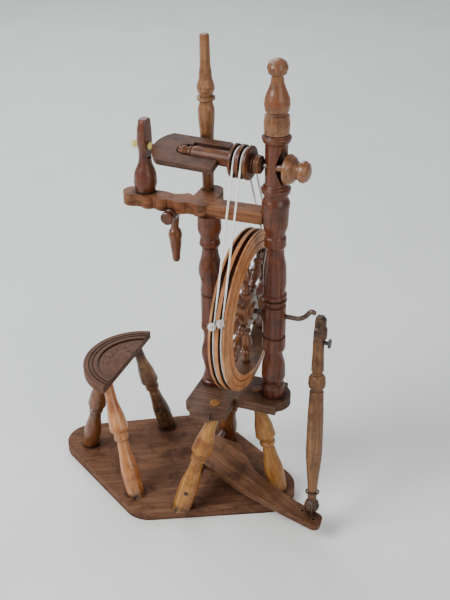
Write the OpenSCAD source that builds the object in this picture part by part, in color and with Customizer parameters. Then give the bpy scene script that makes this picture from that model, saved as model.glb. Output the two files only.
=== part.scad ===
// Miniature castle spinning wheel with a three-legged stool on one base board.
// Every piece is its own node.  Millimetres, +Z up, the underside of the board at z = 0.
// The second post stands on the Z axis and the main post stands beside it along +X.

/* [Base board] */
// Thickness of the base board
board_t = 5.5; // [4:0.5:8]
// Corner radius of the lozenge outline
board_corner_r = 15; // [8:1:18]

/* [Stand] */
// Height from the board's top to the bench's top
stand_h = 58; // [50:1:72]
// Thickness of the bench
bench_t = 5.3; // [4:0.1:7]
// Width of the bench's main bar, front to back
bench_w = 22; // [18:1:26]
// Largest radius of a stand leg
leg_r = 5.2; // [4:0.1:6]

/* [Posts] */
// Distance between the axes of the two posts
post_gap = 32.7; // [31:0.1:38]
// Rise of the main post above the spindle line, without its finial
main_post_rise = 14.3; // [13:0.1:24]
// Shaft radius of the main post
main_post_r = 5.5; // [5:0.1:6]
// Height of the finial above the main post
finial_h = 33; // [24:1:40]
// Shaft radius of the second post
second_post_r = 5.1; // [4.4:0.05:5.6]

/* [Crossbar and maiden] */
// Thickness of the crossbar
crossbar_t = 6; // [5:0.5:7]
// Depth of the crossbar, front to back
crossbar_d = 9.2; // [8:0.2:11]
// Reach of the crossbar past the second post
crossbar_reach = 39.5; // [37:0.5:43]
// Rise of the maiden above the spindle line
maiden_rise = 13.1; // [10:0.1:18]
// Lean of the maiden towards the flyer, in degrees
maiden_lean = 3; // [0:0.5:4]
// Height of the distaff above the crossbar
distaff_h = 74; // [60:1:90]

/* [Flyer and bobbin] */
// Height of the spindle line above the crossbar's top
spindle_lift = 23.3; // [21:0.1:26]
// Length of the flyer's fork
flyer_l = 36; // [33:0.5:38]
// Half the width of the flyer's fork
flyer_half_w = 10; // [9:0.1:10.4]
// Thickness of the flyer's fork
flyer_t = 3.2; // [2.4:0.1:4]
// Radius of the bobbin's barrel
bobbin_r = 3.6; // [3:0.1:4]
// Outer radius of the whorl's ridges
whorl_r = 7.8; // [7.2:0.1:8.6]

/* [Drive wheel] */
// Outer radius of the drive wheel
wheel_r = 40; // [34:0.5:48]
// Gap between the bench and the wheel
wheel_lift = 7; // [2:0.5:12]
// Gap between the wheel and the crossbar
wheel_head_room = 8.2; // [4:0.1:20]
// Depth of the rim, from outside to inside
rim_depth = 9; // [7:0.5:12]
// Width of the rim along the axle
rim_w = 8.4; // [7.6:0.1:9]
// Number of turned spokes
spoke_count = 8; // [6:1:10]
// Radius of the axle wire
axle_r = 1.2; // [0.9:0.05:1.4]
// Throw of the crank at the axle's end
crank_throw = 4.6; // [3.5:0.1:5]
// Diameter of the drive cord
cord_d = 1; // [0.8:0.05:1.1]

/* [Footman and treadle] */
// Thickness of the treadle
treadle_t = 3.2; // [2.6:0.1:4]
// Largest radius of the footman's shaft
footman_r = 4.1; // [3.4:0.1:4.6]

/* [Stool] */
// Radius of the stool seat's arc
seat_r = 29; // [25:0.5:31]
// Thickness of the stool seat
seat_t = 4.4; // [3.8:0.2:6]
// Height of the stool's seat above the board
seat_h = 62; // [52:0.5:68]

/* [Hidden] */

// Fits
joint_fit = 0.05;      // glued tenon in its hole, on the radius
running = 0.1;         // turning pin in its bore, on the radius
clear = 0.35;          // between faces that pass each other
cut = 0.5;             // how far a cutter runs past a face

// Heights
bench_top = board_t + stand_h;
bench_bottom = bench_top - bench_t;
axle_h = wheel_lift + wheel_r;
second_post_h = axle_h + wheel_r + wheel_head_room;
main_post_h = second_post_h + crossbar_t + spindle_lift + main_post_rise;
maiden_h = spindle_lift + maiden_rise;
crossbar_bottom = bench_top + second_post_h;
crossbar_top = crossbar_bottom + crossbar_t;
spindle_z = crossbar_top + spindle_lift;
axle_z = bench_top + axle_h;
main_top = bench_top + main_post_h;
seat_top = board_t + seat_h;

// Tenons
tenon_r = 3;
tenon_l = 4;
leg_tenon_r = leg_r / 2;

// Spindle line: turned a little about Z so that it runs from behind to in front
spindle_drift = 0.09;  // sideways run per millimetre of length
spindle_yaw = atan(spindle_drift);
shaft_r = 1.1;
nose_r = 0.8;          // thinner nose in the maiden's bearing

// Wheel
groove_pitch = 3.8;
groove_w = cord_d + 2 * clear + 0.1;
groove_depth = cord_d + 1.3;
wheel_x = post_gap / 2 + 1.75; // middle of the rim
axle_start = 1;        // where the axle ends inside the second post

// Turned work ---------------------------------------------------------------------------

// Stations are [height, radius]; the outline eases from one to the next.
function eased(a, b, n) = [
  for (i = [1 : n]) let (t = i / n, k = (1 - cos(180 * t)) / 2)
    [a[1] + (b[1] - a[1]) * k, a[0] + (b[0] - a[0]) * t]
];
function outline(st, n) = concat(
  [[0, st[0][0]], [st[0][1], st[0][0]]],
  [for (i = [1 : len(st) - 1])
    each (abs(st[i][0] - st[i - 1][0]) < 0.6
      ? [[st[i][1], st[i][0]]]
      : eased(st[i - 1], st[i], n))],
  st[len(st) - 1][1] > 0 ? [[0, st[len(st) - 1][0]]] : []
);
module turned(st, n = 5, fn = 48) rotate_extrude($fn = fn) polygon(outline(st, n));

// A rod of radius r from point a to point b
module rod(a, b, r, fn = 32) {
  v = b - a;
  translate(a) rotate([0, acos(v[2] / norm(v)), atan2(v[1], v[0])])
    cylinder(h = norm(v), r = r, $fn = fn);
}
// Moves +Z work so that it points from a towards b
module aim(a, b) {
  v = b - a;
  translate(a) rotate([0, acos(v[2] / norm(v)), atan2(v[1], v[0])]) children();
}
// Rounded outline through corner points, each with the same corner radius
function unit(v) = v / norm(v);
function corner_arc(a, p, b, r, n) = let (
    u = unit(a - p), w = unit(b - p),
    half = acos(u * w) / 2,
    c = p + unit(u + w) * r / sin(half),
    s = p + u * r / tan(half), e = p + w * r / tan(half),
    a0 = atan2(s[1] - c[1], s[0] - c[0]), a1 = atan2(e[1] - c[1], e[0] - c[0]),
    turn = ((a1 - a0 + 540) % 360) - 180
  ) [for (i = [0 : n]) c + r * [cos(a0 + turn * i / n), sin(a0 + turn * i / n)]];
function rounded(pts, r, n = 10) = let (m = len(pts)) [
  for (i = [0 : m - 1]) each corner_arc(pts[(i + m - 1) % m], pts[i], pts[(i + 1) % m],
    is_list(r) ? r[i] : r, n)
];

// Board and stand -----------------------------------------------------------------------

board_corners = [[-103.2, -2.5], [-19, 43.3], [64.3, -6.5], [-25.6, -49.1]];
board_radii = [board_corner_r - 1.5, board_corner_r + 3, board_corner_r + 1, board_corner_r];

// Bench tops and board feet of the stand's legs
front_leg = [[7.9, -18, bench_top], [-4.9, -36.3, board_t]];
right_leg = [
  [post_gap - main_post_r * 1.06 - 0.6 - leg_tenon_r, 0.5, bench_top], [38, -5.2, board_t]
];
back_leg = [[6.5, 14, bench_top], [-3, 24, board_t]];

// Seat and board ends of the stool's legs
stool_left = [[-58.2, -13.5, seat_top - seat_t], [-74.8, -6.6, board_t]];
stool_front = [[-51.6, -20.6, seat_top - seat_t], [-31.8, -35.5, board_t]];
stool_back = [[-52.7, 15.9, seat_top - seat_t], [-39, 22.5, board_t]];

module base_board() color("#5b3b2a") difference() {
  linear_extrude(board_t) polygon(rounded(board_corners, board_radii));
  for (l = [front_leg, right_leg, back_leg, stool_left, stool_front, stool_back])
    leg_hole(l, l[1][2]);
}

// The foot's tenon enters the board upright
foot_tenon_l = 3;
module leg_hole(l, z) translate([l[1][0], l[1][1], z - foot_tenon_l - joint_fit])
  cylinder(h = foot_tenon_l + cut, r = leg_tenon_r + joint_fit, $fn = 32);

bench_arm_x = [-6.4, 15.4];
bench_arm_front = -27;
bench_arm_back = 19;
lobe_r = 9;

module bench() color("#4a3024") difference() {
  union() {
    translate([0, 0, bench_bottom]) linear_extrude(bench_t) {
      polygon([
        [bench_arm_x[0] - 0.4, bench_arm_front + 6], [bench_arm_x[0] + 4, bench_arm_front + 2.5],
        [bench_arm_x[0] + 4, bench_arm_front], [bench_arm_x[1] - 7, bench_arm_front - 1],
        [bench_arm_x[1] - 7, bench_arm_front + 1], [bench_arm_x[1], bench_arm_front + 4],
        [bench_arm_x[1], -bench_w / 2], [post_gap + 4.5, -bench_w / 2],
        [post_gap + 4.5, bench_w / 2], [bench_arm_x[1], bench_w / 2],
        [bench_arm_x[1], bench_arm_back], [bench_arm_x[0], bench_arm_back]
      ]);
      translate([post_gap, 0]) circle(r = lobe_r, $fn = 64);
      translate([(bench_arm_x[0] + bench_arm_x[1]) / 2, bench_arm_back])
        circle(r = (bench_arm_x[1] - bench_arm_x[0]) / 2, $fn = 64);
    }
  }
  for (x = [0, post_gap]) translate([x, 0, bench_top - tenon_l - joint_fit])
    cylinder(h = tenon_l + cut, r = tenon_r + joint_fit, $fn = 32);
  for (l = [front_leg, right_leg, back_leg]) bench_socket(l);
}
// Straight hole through the bench for a leg's upright tenon
module bench_socket(l) translate([l[0][0], l[0][1], bench_bottom - cut])
  cylinder(h = bench_t + 2 * cut, r = leg_tenon_r + joint_fit, $fn = 32);

// A splayed leg: tenon up into the part above, turned shaft, tenon down into the board.
// up is how far the upper tenon reaches, under is the height of the face it stops at.
module splayed_leg(top, foot, under, up, r) {
  a = [top[0], top[1], under];
  h = norm(a - foot);
  difference() {
    aim(foot, a) turned([
      [-2, r * 0.9], [h * 0.06, r * 0.95], [h * 0.2, r * 0.98], [h * 0.44, r * 0.66],
      [h * 0.475, r * 0.58], [h * 0.49, r * 0.58], [h * 0.5, r * 0.78], [h * 0.53, r * 0.8],
      [h * 0.54, r * 0.7], [h * 0.55, r * 0.74], [h * 0.595, r * 1.02], [h * 0.66, r * 0.96],
      [h * 0.86, r * 0.59], [h * 0.94, r * 0.575], [h + 2, r * 0.575]
    ]);
    translate([foot[0] - 20, foot[1] - 20, foot[2] - 10]) cube([40, 40, 10]);
    translate([top[0] - 20, top[1] - 20, under]) cube([40, 40, 10]);
  }
  translate([foot[0], foot[1], foot[2] - foot_tenon_l])
    cylinder(h = foot_tenon_l + 1, r = leg_tenon_r, $fn = 32);
  if (up > 0) translate([top[0], top[1], under - 0.8])
    cylinder(h = up + 0.8, r = leg_tenon_r, $fn = 32);
}

module stand_leg_front() color("#a8703c") difference() {
  splayed_leg(front_leg[0], front_leg[1], bench_bottom, bench_t + 0.25, leg_r);
  treadle_pin_bore();
}
module stand_leg_right() color("#a8703c")
  splayed_leg(right_leg[0], right_leg[1], bench_bottom, bench_t + 0.25, leg_r);
module stand_leg_back() color("#8a4a2c") difference() {
  splayed_leg(back_leg[0], back_leg[1], bench_bottom, bench_t + 0.25, leg_r);
  treadle_pin_bore();
}

// Posts ---------------------------------------------------------------------------------

module main_post() color("#4c2a20") {
  h = main_post_h;
  r = main_post_r;
  difference() {
    translate([post_gap, 0, bench_top]) union() {
      turned([for (k = [
        [0, 1.04], [0.03, 1.02], [0.036, 1.06], [0.048, 1], [0.054, 0.86], [0.085, 1.09],
        [0.125, 1.07], [0.186, 0.78], [0.192, 0.8], [0.2, 1], [0.21, 1.05], [0.25, 1.05],
        [0.254, 0.88], [0.264, 0.88], [0.268, 1.04], [0.33, 1.05], [0.378, 1.03], [0.382, 0.88],
        [0.39, 0.88], [0.394, 1.08], [0.404, 1.1], [0.407, 0.94], [0.411, 0.94], [0.414, 1.08],
        [0.424, 1.08], [0.43, 0.94], [0.47, 1.03], [0.52, 1], [0.59, 0.78], [0.6, 0.8],
        [0.612, 0.94], [0.64, 0.94], [0.65, 0.84], [0.69, 1.07], [0.735, 1.12], [0.765, 1.19],
        [0.79, 1], [0.798, 1.04], [0.806, 1.2], [0.818, 1.24], [0.826, 1.08], [0.834, 0.93],
        [0.955, 0.93], [0.968, 0.95], [0.98, 1.16], [0.99, 1.21], [1, 1.02]
      ]) [k[0] * h, k[1] * r]]);
      translate([0, 0, -tenon_l]) cylinder(h = tenon_l + 1, r = tenon_r, $fn = 32);
    }
    // Socket for the finial
    translate([post_gap, 0, main_top - tenon_l]) cylinder(h = tenon_l + cut, r = 2.5 + joint_fit, $fn = 32);
    // Bores for the spindle and the axle
    on_spindle() translate([post_gap - 12, 0, 0]) rotate([0, 90, 0])
      cylinder(h = 24, r = shaft_r + running, $fn = 32);
    on_spindle() translate([stem_x - 0.2, 0, 0]) rotate([0, 90, 0])
      cylinder(h = 12, r = stem_r + running, $fn = 32);
    translate([post_gap - 12, 0, axle_z]) rotate([0, 90, 0])
      cylinder(h = 24, r = axle_r + running, $fn = 32);
    // Tall pointed slot behind the tension knob
    on_spindle() translate([post_gap + 1.6, 0, 0]) rotate([90, 0, 90])
      linear_extrude(12) almond(slot_w, slot_h);
    // Socket for the crossbar's end
    translate([crossbar_end - cut, crossbar_y, (crossbar_bottom + crossbar_top) / 2]) rotate([0, 90, 0])
      cylinder(h = crossbar_tenon_l + cut + joint_fit, r = 1.8 + joint_fit, $fn = 32);
    // Flat where the crossbar butts against the post
    translate([crossbar_end - 8, crossbar_y - crossbar_d / 2 - 0.02, crossbar_bottom - 0.02])
      cube([8, crossbar_d + 0.04, crossbar_t + 0.04]);
  }
}
slot_w = 3.9;
slot_h = 17.6;
module almond(w, h) {
  r = (h * h / 4 + w * w / 4) / w;
  intersection() {
    translate([r - w / 2, 0]) circle(r = r, $fn = 96);
    translate([w / 2 - r, 0]) circle(r = r, $fn = 96);
  }
}

module main_post_finial() color("#8a5a34") translate([post_gap, 0, main_top]) {
  k = finial_h / 33;
  turned([
    [0, 4.6], [0.4 * k, 5.6], [4.5 * k, 5.85], [8.2 * k, 5.5], [9.4 * k, 4.5], [9.8 * k, 4.5],
    [10.6 * k, 5.3], [13.6 * k, 5.75], [24.6 * k, 2.7], [25.2 * k, 2.6], [27 * k, 4.1],
    [29 * k, 4.6], [31.2 * k, 3.9], [32.5 * k, 2.2], [33 * k, 0]
  ]);
  translate([0, 0, -tenon_l + 0.2]) cylinder(h = tenon_l, r = 2.5, $fn = 32);
}

module second_post() color("#4c2c22") translate([0, 0, bench_top]) {
  h = second_post_h;
  r = second_post_r;
  difference() {
    union() {
      turned([for (k = [
        [0, 1.16], [0.02, 1.16], [0.03, 1.04], [0.082, 0.84], [0.188, 1.13], [0.292, 0.84],
        [0.342, 0.92], [0.347, 1.08], [0.37, 1.08], [0.374, 0.94], [0.38, 1.03], [0.46, 1.02],
        [0.55, 1.02], [0.554, 0.85], [0.566, 0.85], [0.57, 1.04], [0.62, 0.96], [0.69, 1.18],
        [0.806, 0.78], [0.816, 0.78], [0.846, 1], [0.866, 0.94], [0.874, 0.88], [0.93, 1.12],
        [1, 1.08]
      ]) [k[0] * h, k[1] * r]]);
      translate([0, 0, -tenon_l]) cylinder(h = tenon_l + 1, r = tenon_r, $fn = 32);
      translate([0, 0, h - 1]) cylinder(h = tenon_l + 1, r = 2.4, $fn = 32);
    }
    translate([axle_start - joint_fit, 0, axle_h]) rotate([0, 90, 0])
      cylinder(h = 12, r = axle_r + running, $fn = 32);
  }
}

// Crossbar and what stands on it --------------------------------------------------------

crossbar_y = 1;
crossbar_end = post_gap - main_post_r * 1.04;
crossbar_tenon_l = 3;
arm_end = [-4.4, 14.8];
arm_end_r = 5.6;
distaff_at = [-6.2, 14.8];
maiden_x = 5.6 - crossbar_reach;
maiden_at = [maiden_x, -spindle_drift * maiden_x];
peg_at = [-18.4, crossbar_y];
lobe_rise = 0.9;
lobes = [[-30.6, 3.9], [-23.2, 3.9], [-13.9, 5.6], [-3.6, 5]]; // [place along the bar, radius]

module crossbar() color("#4a2c22") difference() {
  union() {
    translate([0, 0, crossbar_bottom]) linear_extrude(crossbar_t) difference() {
      union() {
        translate([-crossbar_reach, crossbar_y - crossbar_d / 2 + lobe_rise])
          square([crossbar_reach + crossbar_end, crossbar_d - lobe_rise]);
        // Rounded lobes along the front
        for (l = lobes) translate([l[0], crossbar_y - crossbar_d / 2 + l[1] - 0.5])
          circle(r = l[1], $fn = 48);
        translate([-crossbar_reach, crossbar_y + 0.6]) circle(r = crossbar_d / 2 + 0.6, $fn = 64);
        translate([arm_end[0] - arm_end_r, crossbar_y]) square([2 * arm_end_r, arm_end[1] - crossbar_y]);
        translate(arm_end) circle(r = arm_end_r, $fn = 64);
      }
      // Waist behind the bar, between the maiden and the back arm
      translate([-19.5, crossbar_y + crossbar_d / 2 + 6.4]) circle(r = 7.4, $fn = 64);
    }
    translate([crossbar_end - 1, crossbar_y, (crossbar_bottom + crossbar_top) / 2]) rotate([0, 90, 0])
      cylinder(h = crossbar_tenon_l + 1, r = 1.8, $fn = 32);
  }
  translate([0, 0, crossbar_bottom - cut]) cylinder(h = tenon_l + cut + joint_fit, r = 2.4 + joint_fit, $fn = 32);
  translate([distaff_at[0], distaff_at[1], crossbar_top - tenon_l]) cylinder(h = tenon_l + cut, r = 1.6 + joint_fit, $fn = 32);
  translate([maiden_at[0], maiden_at[1], crossbar_top - tenon_l]) cylinder(h = tenon_l + cut, r = 2 + joint_fit, $fn = 32);
  // Half-round seat for the cross peg under the bar
  translate([peg_at[0], -30, peg_z]) rotate([-90, 0, 0]) cylinder(h = 60, r = peg_r + 0.02, $fn = 48);
}

peg_r = 3.2;
peg_z = crossbar_bottom - 1.6;
module cross_peg() color("#3c2520") translate([peg_at[0], crossbar_y - 9.4, peg_z]) difference() {
  rotate([-90, 0, 0]) turned([
    [0, peg_r * 0.8], [0.4, peg_r * 0.98], [2.6, peg_r], [3, peg_r * 0.86], [3.4, peg_r * 0.86],
    [3.8, peg_r], [13.4, peg_r], [13.8, peg_r * 0.86], [14.2, peg_r * 0.86], [14.6, peg_r],
    [16.6, peg_r * 0.98], [17, peg_r * 0.8]
  ]);
  translate([0, 9.4, -peg_r - 1]) cylinder(h = 3, r = 1.3 + joint_fit, $fn = 32);
}

module pendant_drop() color("#5a3826") translate([peg_at[0], crossbar_y, peg_z - peg_r]) {
  difference() {
    turned([
      [-23.6, 0], [-23.2, 1.5], [-22, 1.9], [-12, 2.9], [-9.2, 3.35], [-8.6, 3.35], [-7.2, 3],
      [-5, 1.9], [-2, 2.2], [0.8, 2.4]
    ]);
    translate([0, -10, peg_r]) rotate([-90, 0, 0]) cylinder(h = 20, r = peg_r + 0.02, $fn = 48);
  }
  translate([0, 0, -0.5]) cylinder(h = 2.3, r = 1.3, $fn = 32);
}

module distaff() color("#6b4630") translate([distaff_at[0], distaff_at[1], crossbar_top]) {
  k = distaff_h / 74;
  turned([
    [0, 2.7], [4 * k, 2.8], [25 * k, 3.2], [39 * k, 3.95], [43.4 * k, 3.1], [44 * k, 3],
    [44.4 * k, 4.3], [45.6 * k, 4.3], [46 * k, 3.1], [49.6 * k, 4.15], [55.4 * k, 2.95],
    [61.5 * k, 2.4], [73.2 * k, 2.25], [74 * k, 1.7]
  ]);
  translate([0, 0, -tenon_l + 0.2]) cylinder(h = tenon_l, r = 1.6, $fn = 32);
}

bearing_r = 1.15;
module maiden() color("#4a2a20") difference() {
  translate([maiden_at[0], maiden_at[1], crossbar_top]) {
    k = maiden_h / 36.4;
    difference() {
      rotate([0, maiden_lean, 0]) turned([
        [-1, 4.4], [0.4 * k, 4.5], [1 * k, 4.9], [4.8 * k, 5.6], [8 * k, 5.4], [16.2 * k, 3.1],
        [18.6 * k, 3], [26 * k, 3.9], [30 * k, 3.75], [35 * k, 3.2], [36.2 * k, 2.4],
        [36.4 * k, 1.4]
      ]);
      translate([-10, -10, -6]) cube([20, 20, 6]);
    }
    translate([0, 0, -tenon_l + 0.2]) cylinder(h = tenon_l + 0.3, r = 2, $fn = 32);
  }
  // Flat towards the flyer, and the hole for the bearing yarn
  on_spindle() translate([maiden_local_x + 3.1, -10, -6]) cube([10, 20, 30]);
  on_spindle() translate([maiden_local_x - 12, 0, 0]) rotate([0, 90, 0])
    cylinder(h = 24, r = bearing_r + joint_fit, $fn = 32);
}

// The yarn that carries the flyer's nose: a plug in the maiden with a tuft at each side
module maiden_bearing() color("#d9c25a") on_spindle() translate([maiden_local_x, 0, 0])
  rotate([0, 90, 0]) difference() {
    turned([
      [-5.8, 0.6], [-5.1, 1.4], [-4.3, 1.5], [-3.4, bearing_r], [3.05, bearing_r], [3.2, 1.4],
      [4, 1.8], [4.9, 1.5], [5.5, 1.1]
    ], fn = 32);
    translate([0, 0, 2.7]) cylinder(h = 6, r = nose_r + running, $fn = 32);
  }

// Flyer and bobbin ----------------------------------------------------------------------

// Work on the spindle line: local X runs along it, local origin over the second post
module on_spindle() translate([0, 0, spindle_z]) rotate([0, 0, -spindle_yaw]) children();
maiden_local_x = maiden_at[0] / cos(spindle_yaw);
main_local_x = post_gap / cos(spindle_yaw);

flyer_tilt = 17;
fork_nose = -27.6;
fork_end = fork_nose + flyer_l;
knob_x = -11.8;        // middle of the ball at the bobbin's left end
knob_r = 3.2;
near_arm_cut = 1.6;    // how much shorter the near arm is
whorl_x = wheel_x - 5; // left face of the whorl
whorl_w = 2 * groove_pitch + 1.4;
stem_r = 1.7;
stem_x = main_local_x - 1;    // inner end of the tension knob's stem

module fork_outline() {
  w = flyer_half_w;
  translate([fork_nose + w * 1.1, 0]) difference() {
    union() {
      scale_circle(w);
      square_y([fork_end - fork_nose - w * 1.1, 2 * w]);
    }
  }
}
// Round nose made of three arcs
module scale_circle(w) intersection() {
  translate([w * 0.04, 0]) circle(r = w * 1.14, $fn = 96);
  translate([-w * 1.1, -w]) square([w * 2.2, 2 * w]);
}
module square_y(s) translate([0, -s[1] / 2]) square(s);

module flyer() color("#46302a") on_spindle() rotate([flyer_tilt, 0, 0]) difference() {
  translate([0, 0, -flyer_t / 2]) linear_extrude(flyer_t) difference() {
    fork_outline();
    // Round seat for the bobbin's ball, then the slot for its barrel
    translate([knob_x, 0]) circle(r = knob_r + clear, $fn = 48);
    translate([knob_x, 0]) square_y([40, 2 * (max(bobbin_r, knob_r) + clear)]);
    // The gap between the arms is wider behind the bobbin
    translate([knob_x + 2.6, 0]) square([40, flyer_half_w - 4]);
    translate([fork_end - near_arm_cut, -20]) square([10, 20]);
  }
  translate([fork_nose - 5, 0, 0]) rotate([0, 90, 0]) cylinder(h = 30, r = shaft_r + 0.02, $fn = 32);
}

// Shaft from the maiden's bearing, through the fork's nose and the bobbin, to the main post
module flyer_shaft() color("#8c8780") on_spindle() rotate([0, 90, 0]) {
  translate([0, 0, maiden_local_x + 2.9])
    cylinder(h = fork_nose + 0.9 - maiden_local_x - 2.9, r = nose_r, $fn = 32);
  translate([0, 0, fork_nose + 0.4])
    cylinder(h = stem_x - 0.6 - fork_nose - 0.4, r = shaft_r, $fn = 32);
}

module bobbin() color("#5c3426") on_spindle() difference() {
  rotate([0, 90, 0]) union() {
    turned([
      [knob_x - knob_r + 0.1, 1.4], [knob_x - 2.2, 2.4], [knob_x, knob_r], [knob_x + 2, 2.5],
      [knob_x + 2.5, 2.2], [knob_x + 2.9, 3.1], [knob_x + 3.7, 3.1], [knob_x + 4.1, 2.7],
      [knob_x + 4.6, 3.3], [knob_x + 5.4, bobbin_r], [whorl_x, bobbin_r]
    ]);
    // Whorl: three ridges with two cord grooves
    turned([
      [whorl_x, whorl_r - 0.8], [whorl_x + 0.4, whorl_r],
      [groove_x(0) - groove_w / 2 - 0.2, whorl_r], [groove_x(0) - groove_w / 2, whorl_floor],
      [groove_x(0) + groove_w / 2, whorl_floor], [groove_x(0) + groove_w / 2 + 0.2, whorl_r],
      [groove_x(1) - groove_w / 2 - 0.2, whorl_r], [groove_x(1) - groove_w / 2, whorl_floor],
      [groove_x(1) + groove_w / 2, whorl_floor], [groove_x(1) + groove_w / 2 + 0.2, whorl_r],
      [whorl_x + whorl_w - 0.4, whorl_r], [whorl_x + whorl_w, whorl_r - 0.8]
    ], fn = 64);
    // Collar beside the whorl, and the neck between it and the post
    turned([
      [whorl_x + whorl_w - 0.5, 4.3], [whorl_x + whorl_w + 0.3 * collar_l, 4.5],
      [whorl_x + whorl_w + 0.32 * collar_l, 3.7], [whorl_x + whorl_w + 0.4 * collar_l, 3.7],
      [whorl_x + whorl_w + 0.42 * collar_l, 4.3], [whorl_x + whorl_w + 0.86 * collar_l, 4.1],
      [whorl_x + whorl_w + 0.88 * collar_l, 3], [whorl_x + whorl_w + collar_l, 2.9]
    ]);
  }
  translate([-40, 0, 0]) rotate([0, 90, 0]) cylinder(h = 80, r = shaft_r + running, $fn = 32);
}
whorl_floor = whorl_r - groove_depth;
function groove_x(i) = whorl_x + whorl_w / 2 + (i - 0.5) * groove_pitch;
collar_l = main_local_x - main_post_r * 0.95 - 0.4 - (whorl_x + whorl_w);

module tension_knob() color("#6e4228") on_spindle() rotate([0, 90, 0]) {
  x = main_local_x + main_post_r * 0.93 + clear;
  turned([
    [x, 5.4], [x + 0.6, 6.6], [x + 1.7, 6.9], [x + 3.6, 5.9], [x + 5.4, 4.1], [x + 6, 3.7],
    [x + 6.4, 3.8], [x + 7.6, 4.7], [x + 8.8, 4.95], [x + 10.3, 4.2], [x + 11.3, 2.5],
    [x + 11.7, 0]
  ]);
  translate([0, 0, stem_x]) cylinder(h = x - stem_x + 1, r = stem_r, $fn = 32);
}

// Drive wheel ---------------------------------------------------------------------------

rim_floor = wheel_r - groove_depth;
rim_inner = wheel_r - rim_depth;
hub_r = 9;
hub_w = 10;
module on_axle() translate([0, 0, axle_z]) rotate([0, 90, 0]) children();

module wheel_rim() color("#9a6236") on_axle() difference() {
  translate([0, 0, wheel_x - rim_w / 2]) rotate_extrude($fn = 160) polygon(concat(
    [[rim_inner, 0.6], [rim_inner + 0.6, 0], [wheel_r - 0.5, 0], [wheel_r, 0.5]],
    [for (i = [-0.5, 0.5]) let (c = rim_w / 2 + i * groove_pitch) each [
      [wheel_r, c - groove_w / 2 - 0.15], [rim_floor, c - groove_w / 2],
      [rim_floor, c + groove_w / 2], [wheel_r, c + groove_w / 2 + 0.15]]],
    [[wheel_r, rim_w - 0.5], [wheel_r - 0.5, rim_w],
     [wheel_r - 2.2, rim_w], [wheel_r - 2.4, rim_w - 0.25], [wheel_r - 2.6, rim_w],
     [rim_inner + 4, rim_w + 0.5], [rim_inner + 3.8, rim_w + 0.2], [rim_inner + 3.6, rim_w + 0.6],
     [rim_inner + 1, rim_w + 1.1], [rim_inner, rim_w + 0.7]]
  ));
  for (i = [0 : spoke_count - 1]) rotate([0, 0, i * 360 / spoke_count])
    translate([rim_inner - 1, 0, wheel_x]) rotate([0, 90, 0])
      cylinder(h = 1 + spoke_tenon, r = spoke_tenon_r + joint_fit, $fn = 24);
}
spoke_tenon = 2.4;
spoke_tenon_r = 1.1;

module wheel_spokes() color("#7a4a2e") on_axle()
  for (i = [0 : spoke_count - 1]) rotate([0, 0, i * 360 / spoke_count]) translate([0, 0, wheel_x])
    rotate([0, 90, 0]) spoke();
module spoke() {
  a = hub_r;
  l = rim_inner - hub_r;
  translate([0, 0, a - spoke_tenon]) cylinder(h = l + 2 * spoke_tenon - joint_fit, r = spoke_tenon_r, $fn = 24);
  translate([0, 0, a]) turned([
    [0.05, 2], [0.05 * l, 2], [0.09 * l, 1.7], [0.12 * l, 2.5], [0.17 * l, 2.5],
    [0.2 * l, 1.6], [0.45 * l, 3.1], [0.66 * l, 1.6], [0.7 * l, 2.4], [0.76 * l, 2.4],
    [0.8 * l, 1.5], [0.93 * l, 1.9], [l - 0.35, 1.8]
  ], 4, 24);
}

module wheel_hub() color("#5a3324") on_axle() difference() {
  translate([0, 0, wheel_x - hub_w / 2]) turned([
    [0, 4], [1.2, 4.8], [1.6, 7.4], [2.6, hub_r], [hub_w - 2.6, hub_r], [hub_w - 1.6, 7.4],
    [hub_w - 1.2, 4.8], [hub_w, 4]
  ]);
  translate([0, 0, -1]) cylinder(h = 60, r = axle_r + 0.02, $fn = 32);
  for (i = [0 : spoke_count - 1]) rotate([0, 0, i * 360 / spoke_count])
    translate([hub_r - spoke_tenon - joint_fit, 0, wheel_x]) rotate([0, 90, 0])
      cylinder(h = 6, r = spoke_tenon_r + joint_fit, $fn = 24);
}

// Axle wire with its crank bend, one continuous rod
crank_bend = post_gap + 14;
crank_peak = [crank_bend + 4.6, 0, axle_z + crank_throw + 1.2];
crank_tip = [crank_bend + 5.8, 0, axle_z + crank_throw + 0.4];
module crank_axle() color("#6f6a66") {
  a = [axle_start, 0, axle_z];
  b = [crank_bend, 0, axle_z];
  rod(a, b, axle_r);
  translate(b) sphere(r = axle_r, $fn = 32);
  rod(b, crank_peak, axle_r);
  translate(crank_peak) sphere(r = axle_r, $fn = 32);
  rod(crank_peak, crank_tip, axle_r);
  translate(crank_tip) sphere(r = axle_r, $fn = 32);
}

// Drive band ----------------------------------------------------------------------------

// Two loops of cord, held in the grooves of the wheel and of the whorl
band_r = cord_d / 2;
band_on_wheel = rim_floor + clear + band_r;
band_on_whorl = whorl_floor + clear + band_r;
module drive_band() color("#efece4") for (i = [0, 1]) band_loop(i);

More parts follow.
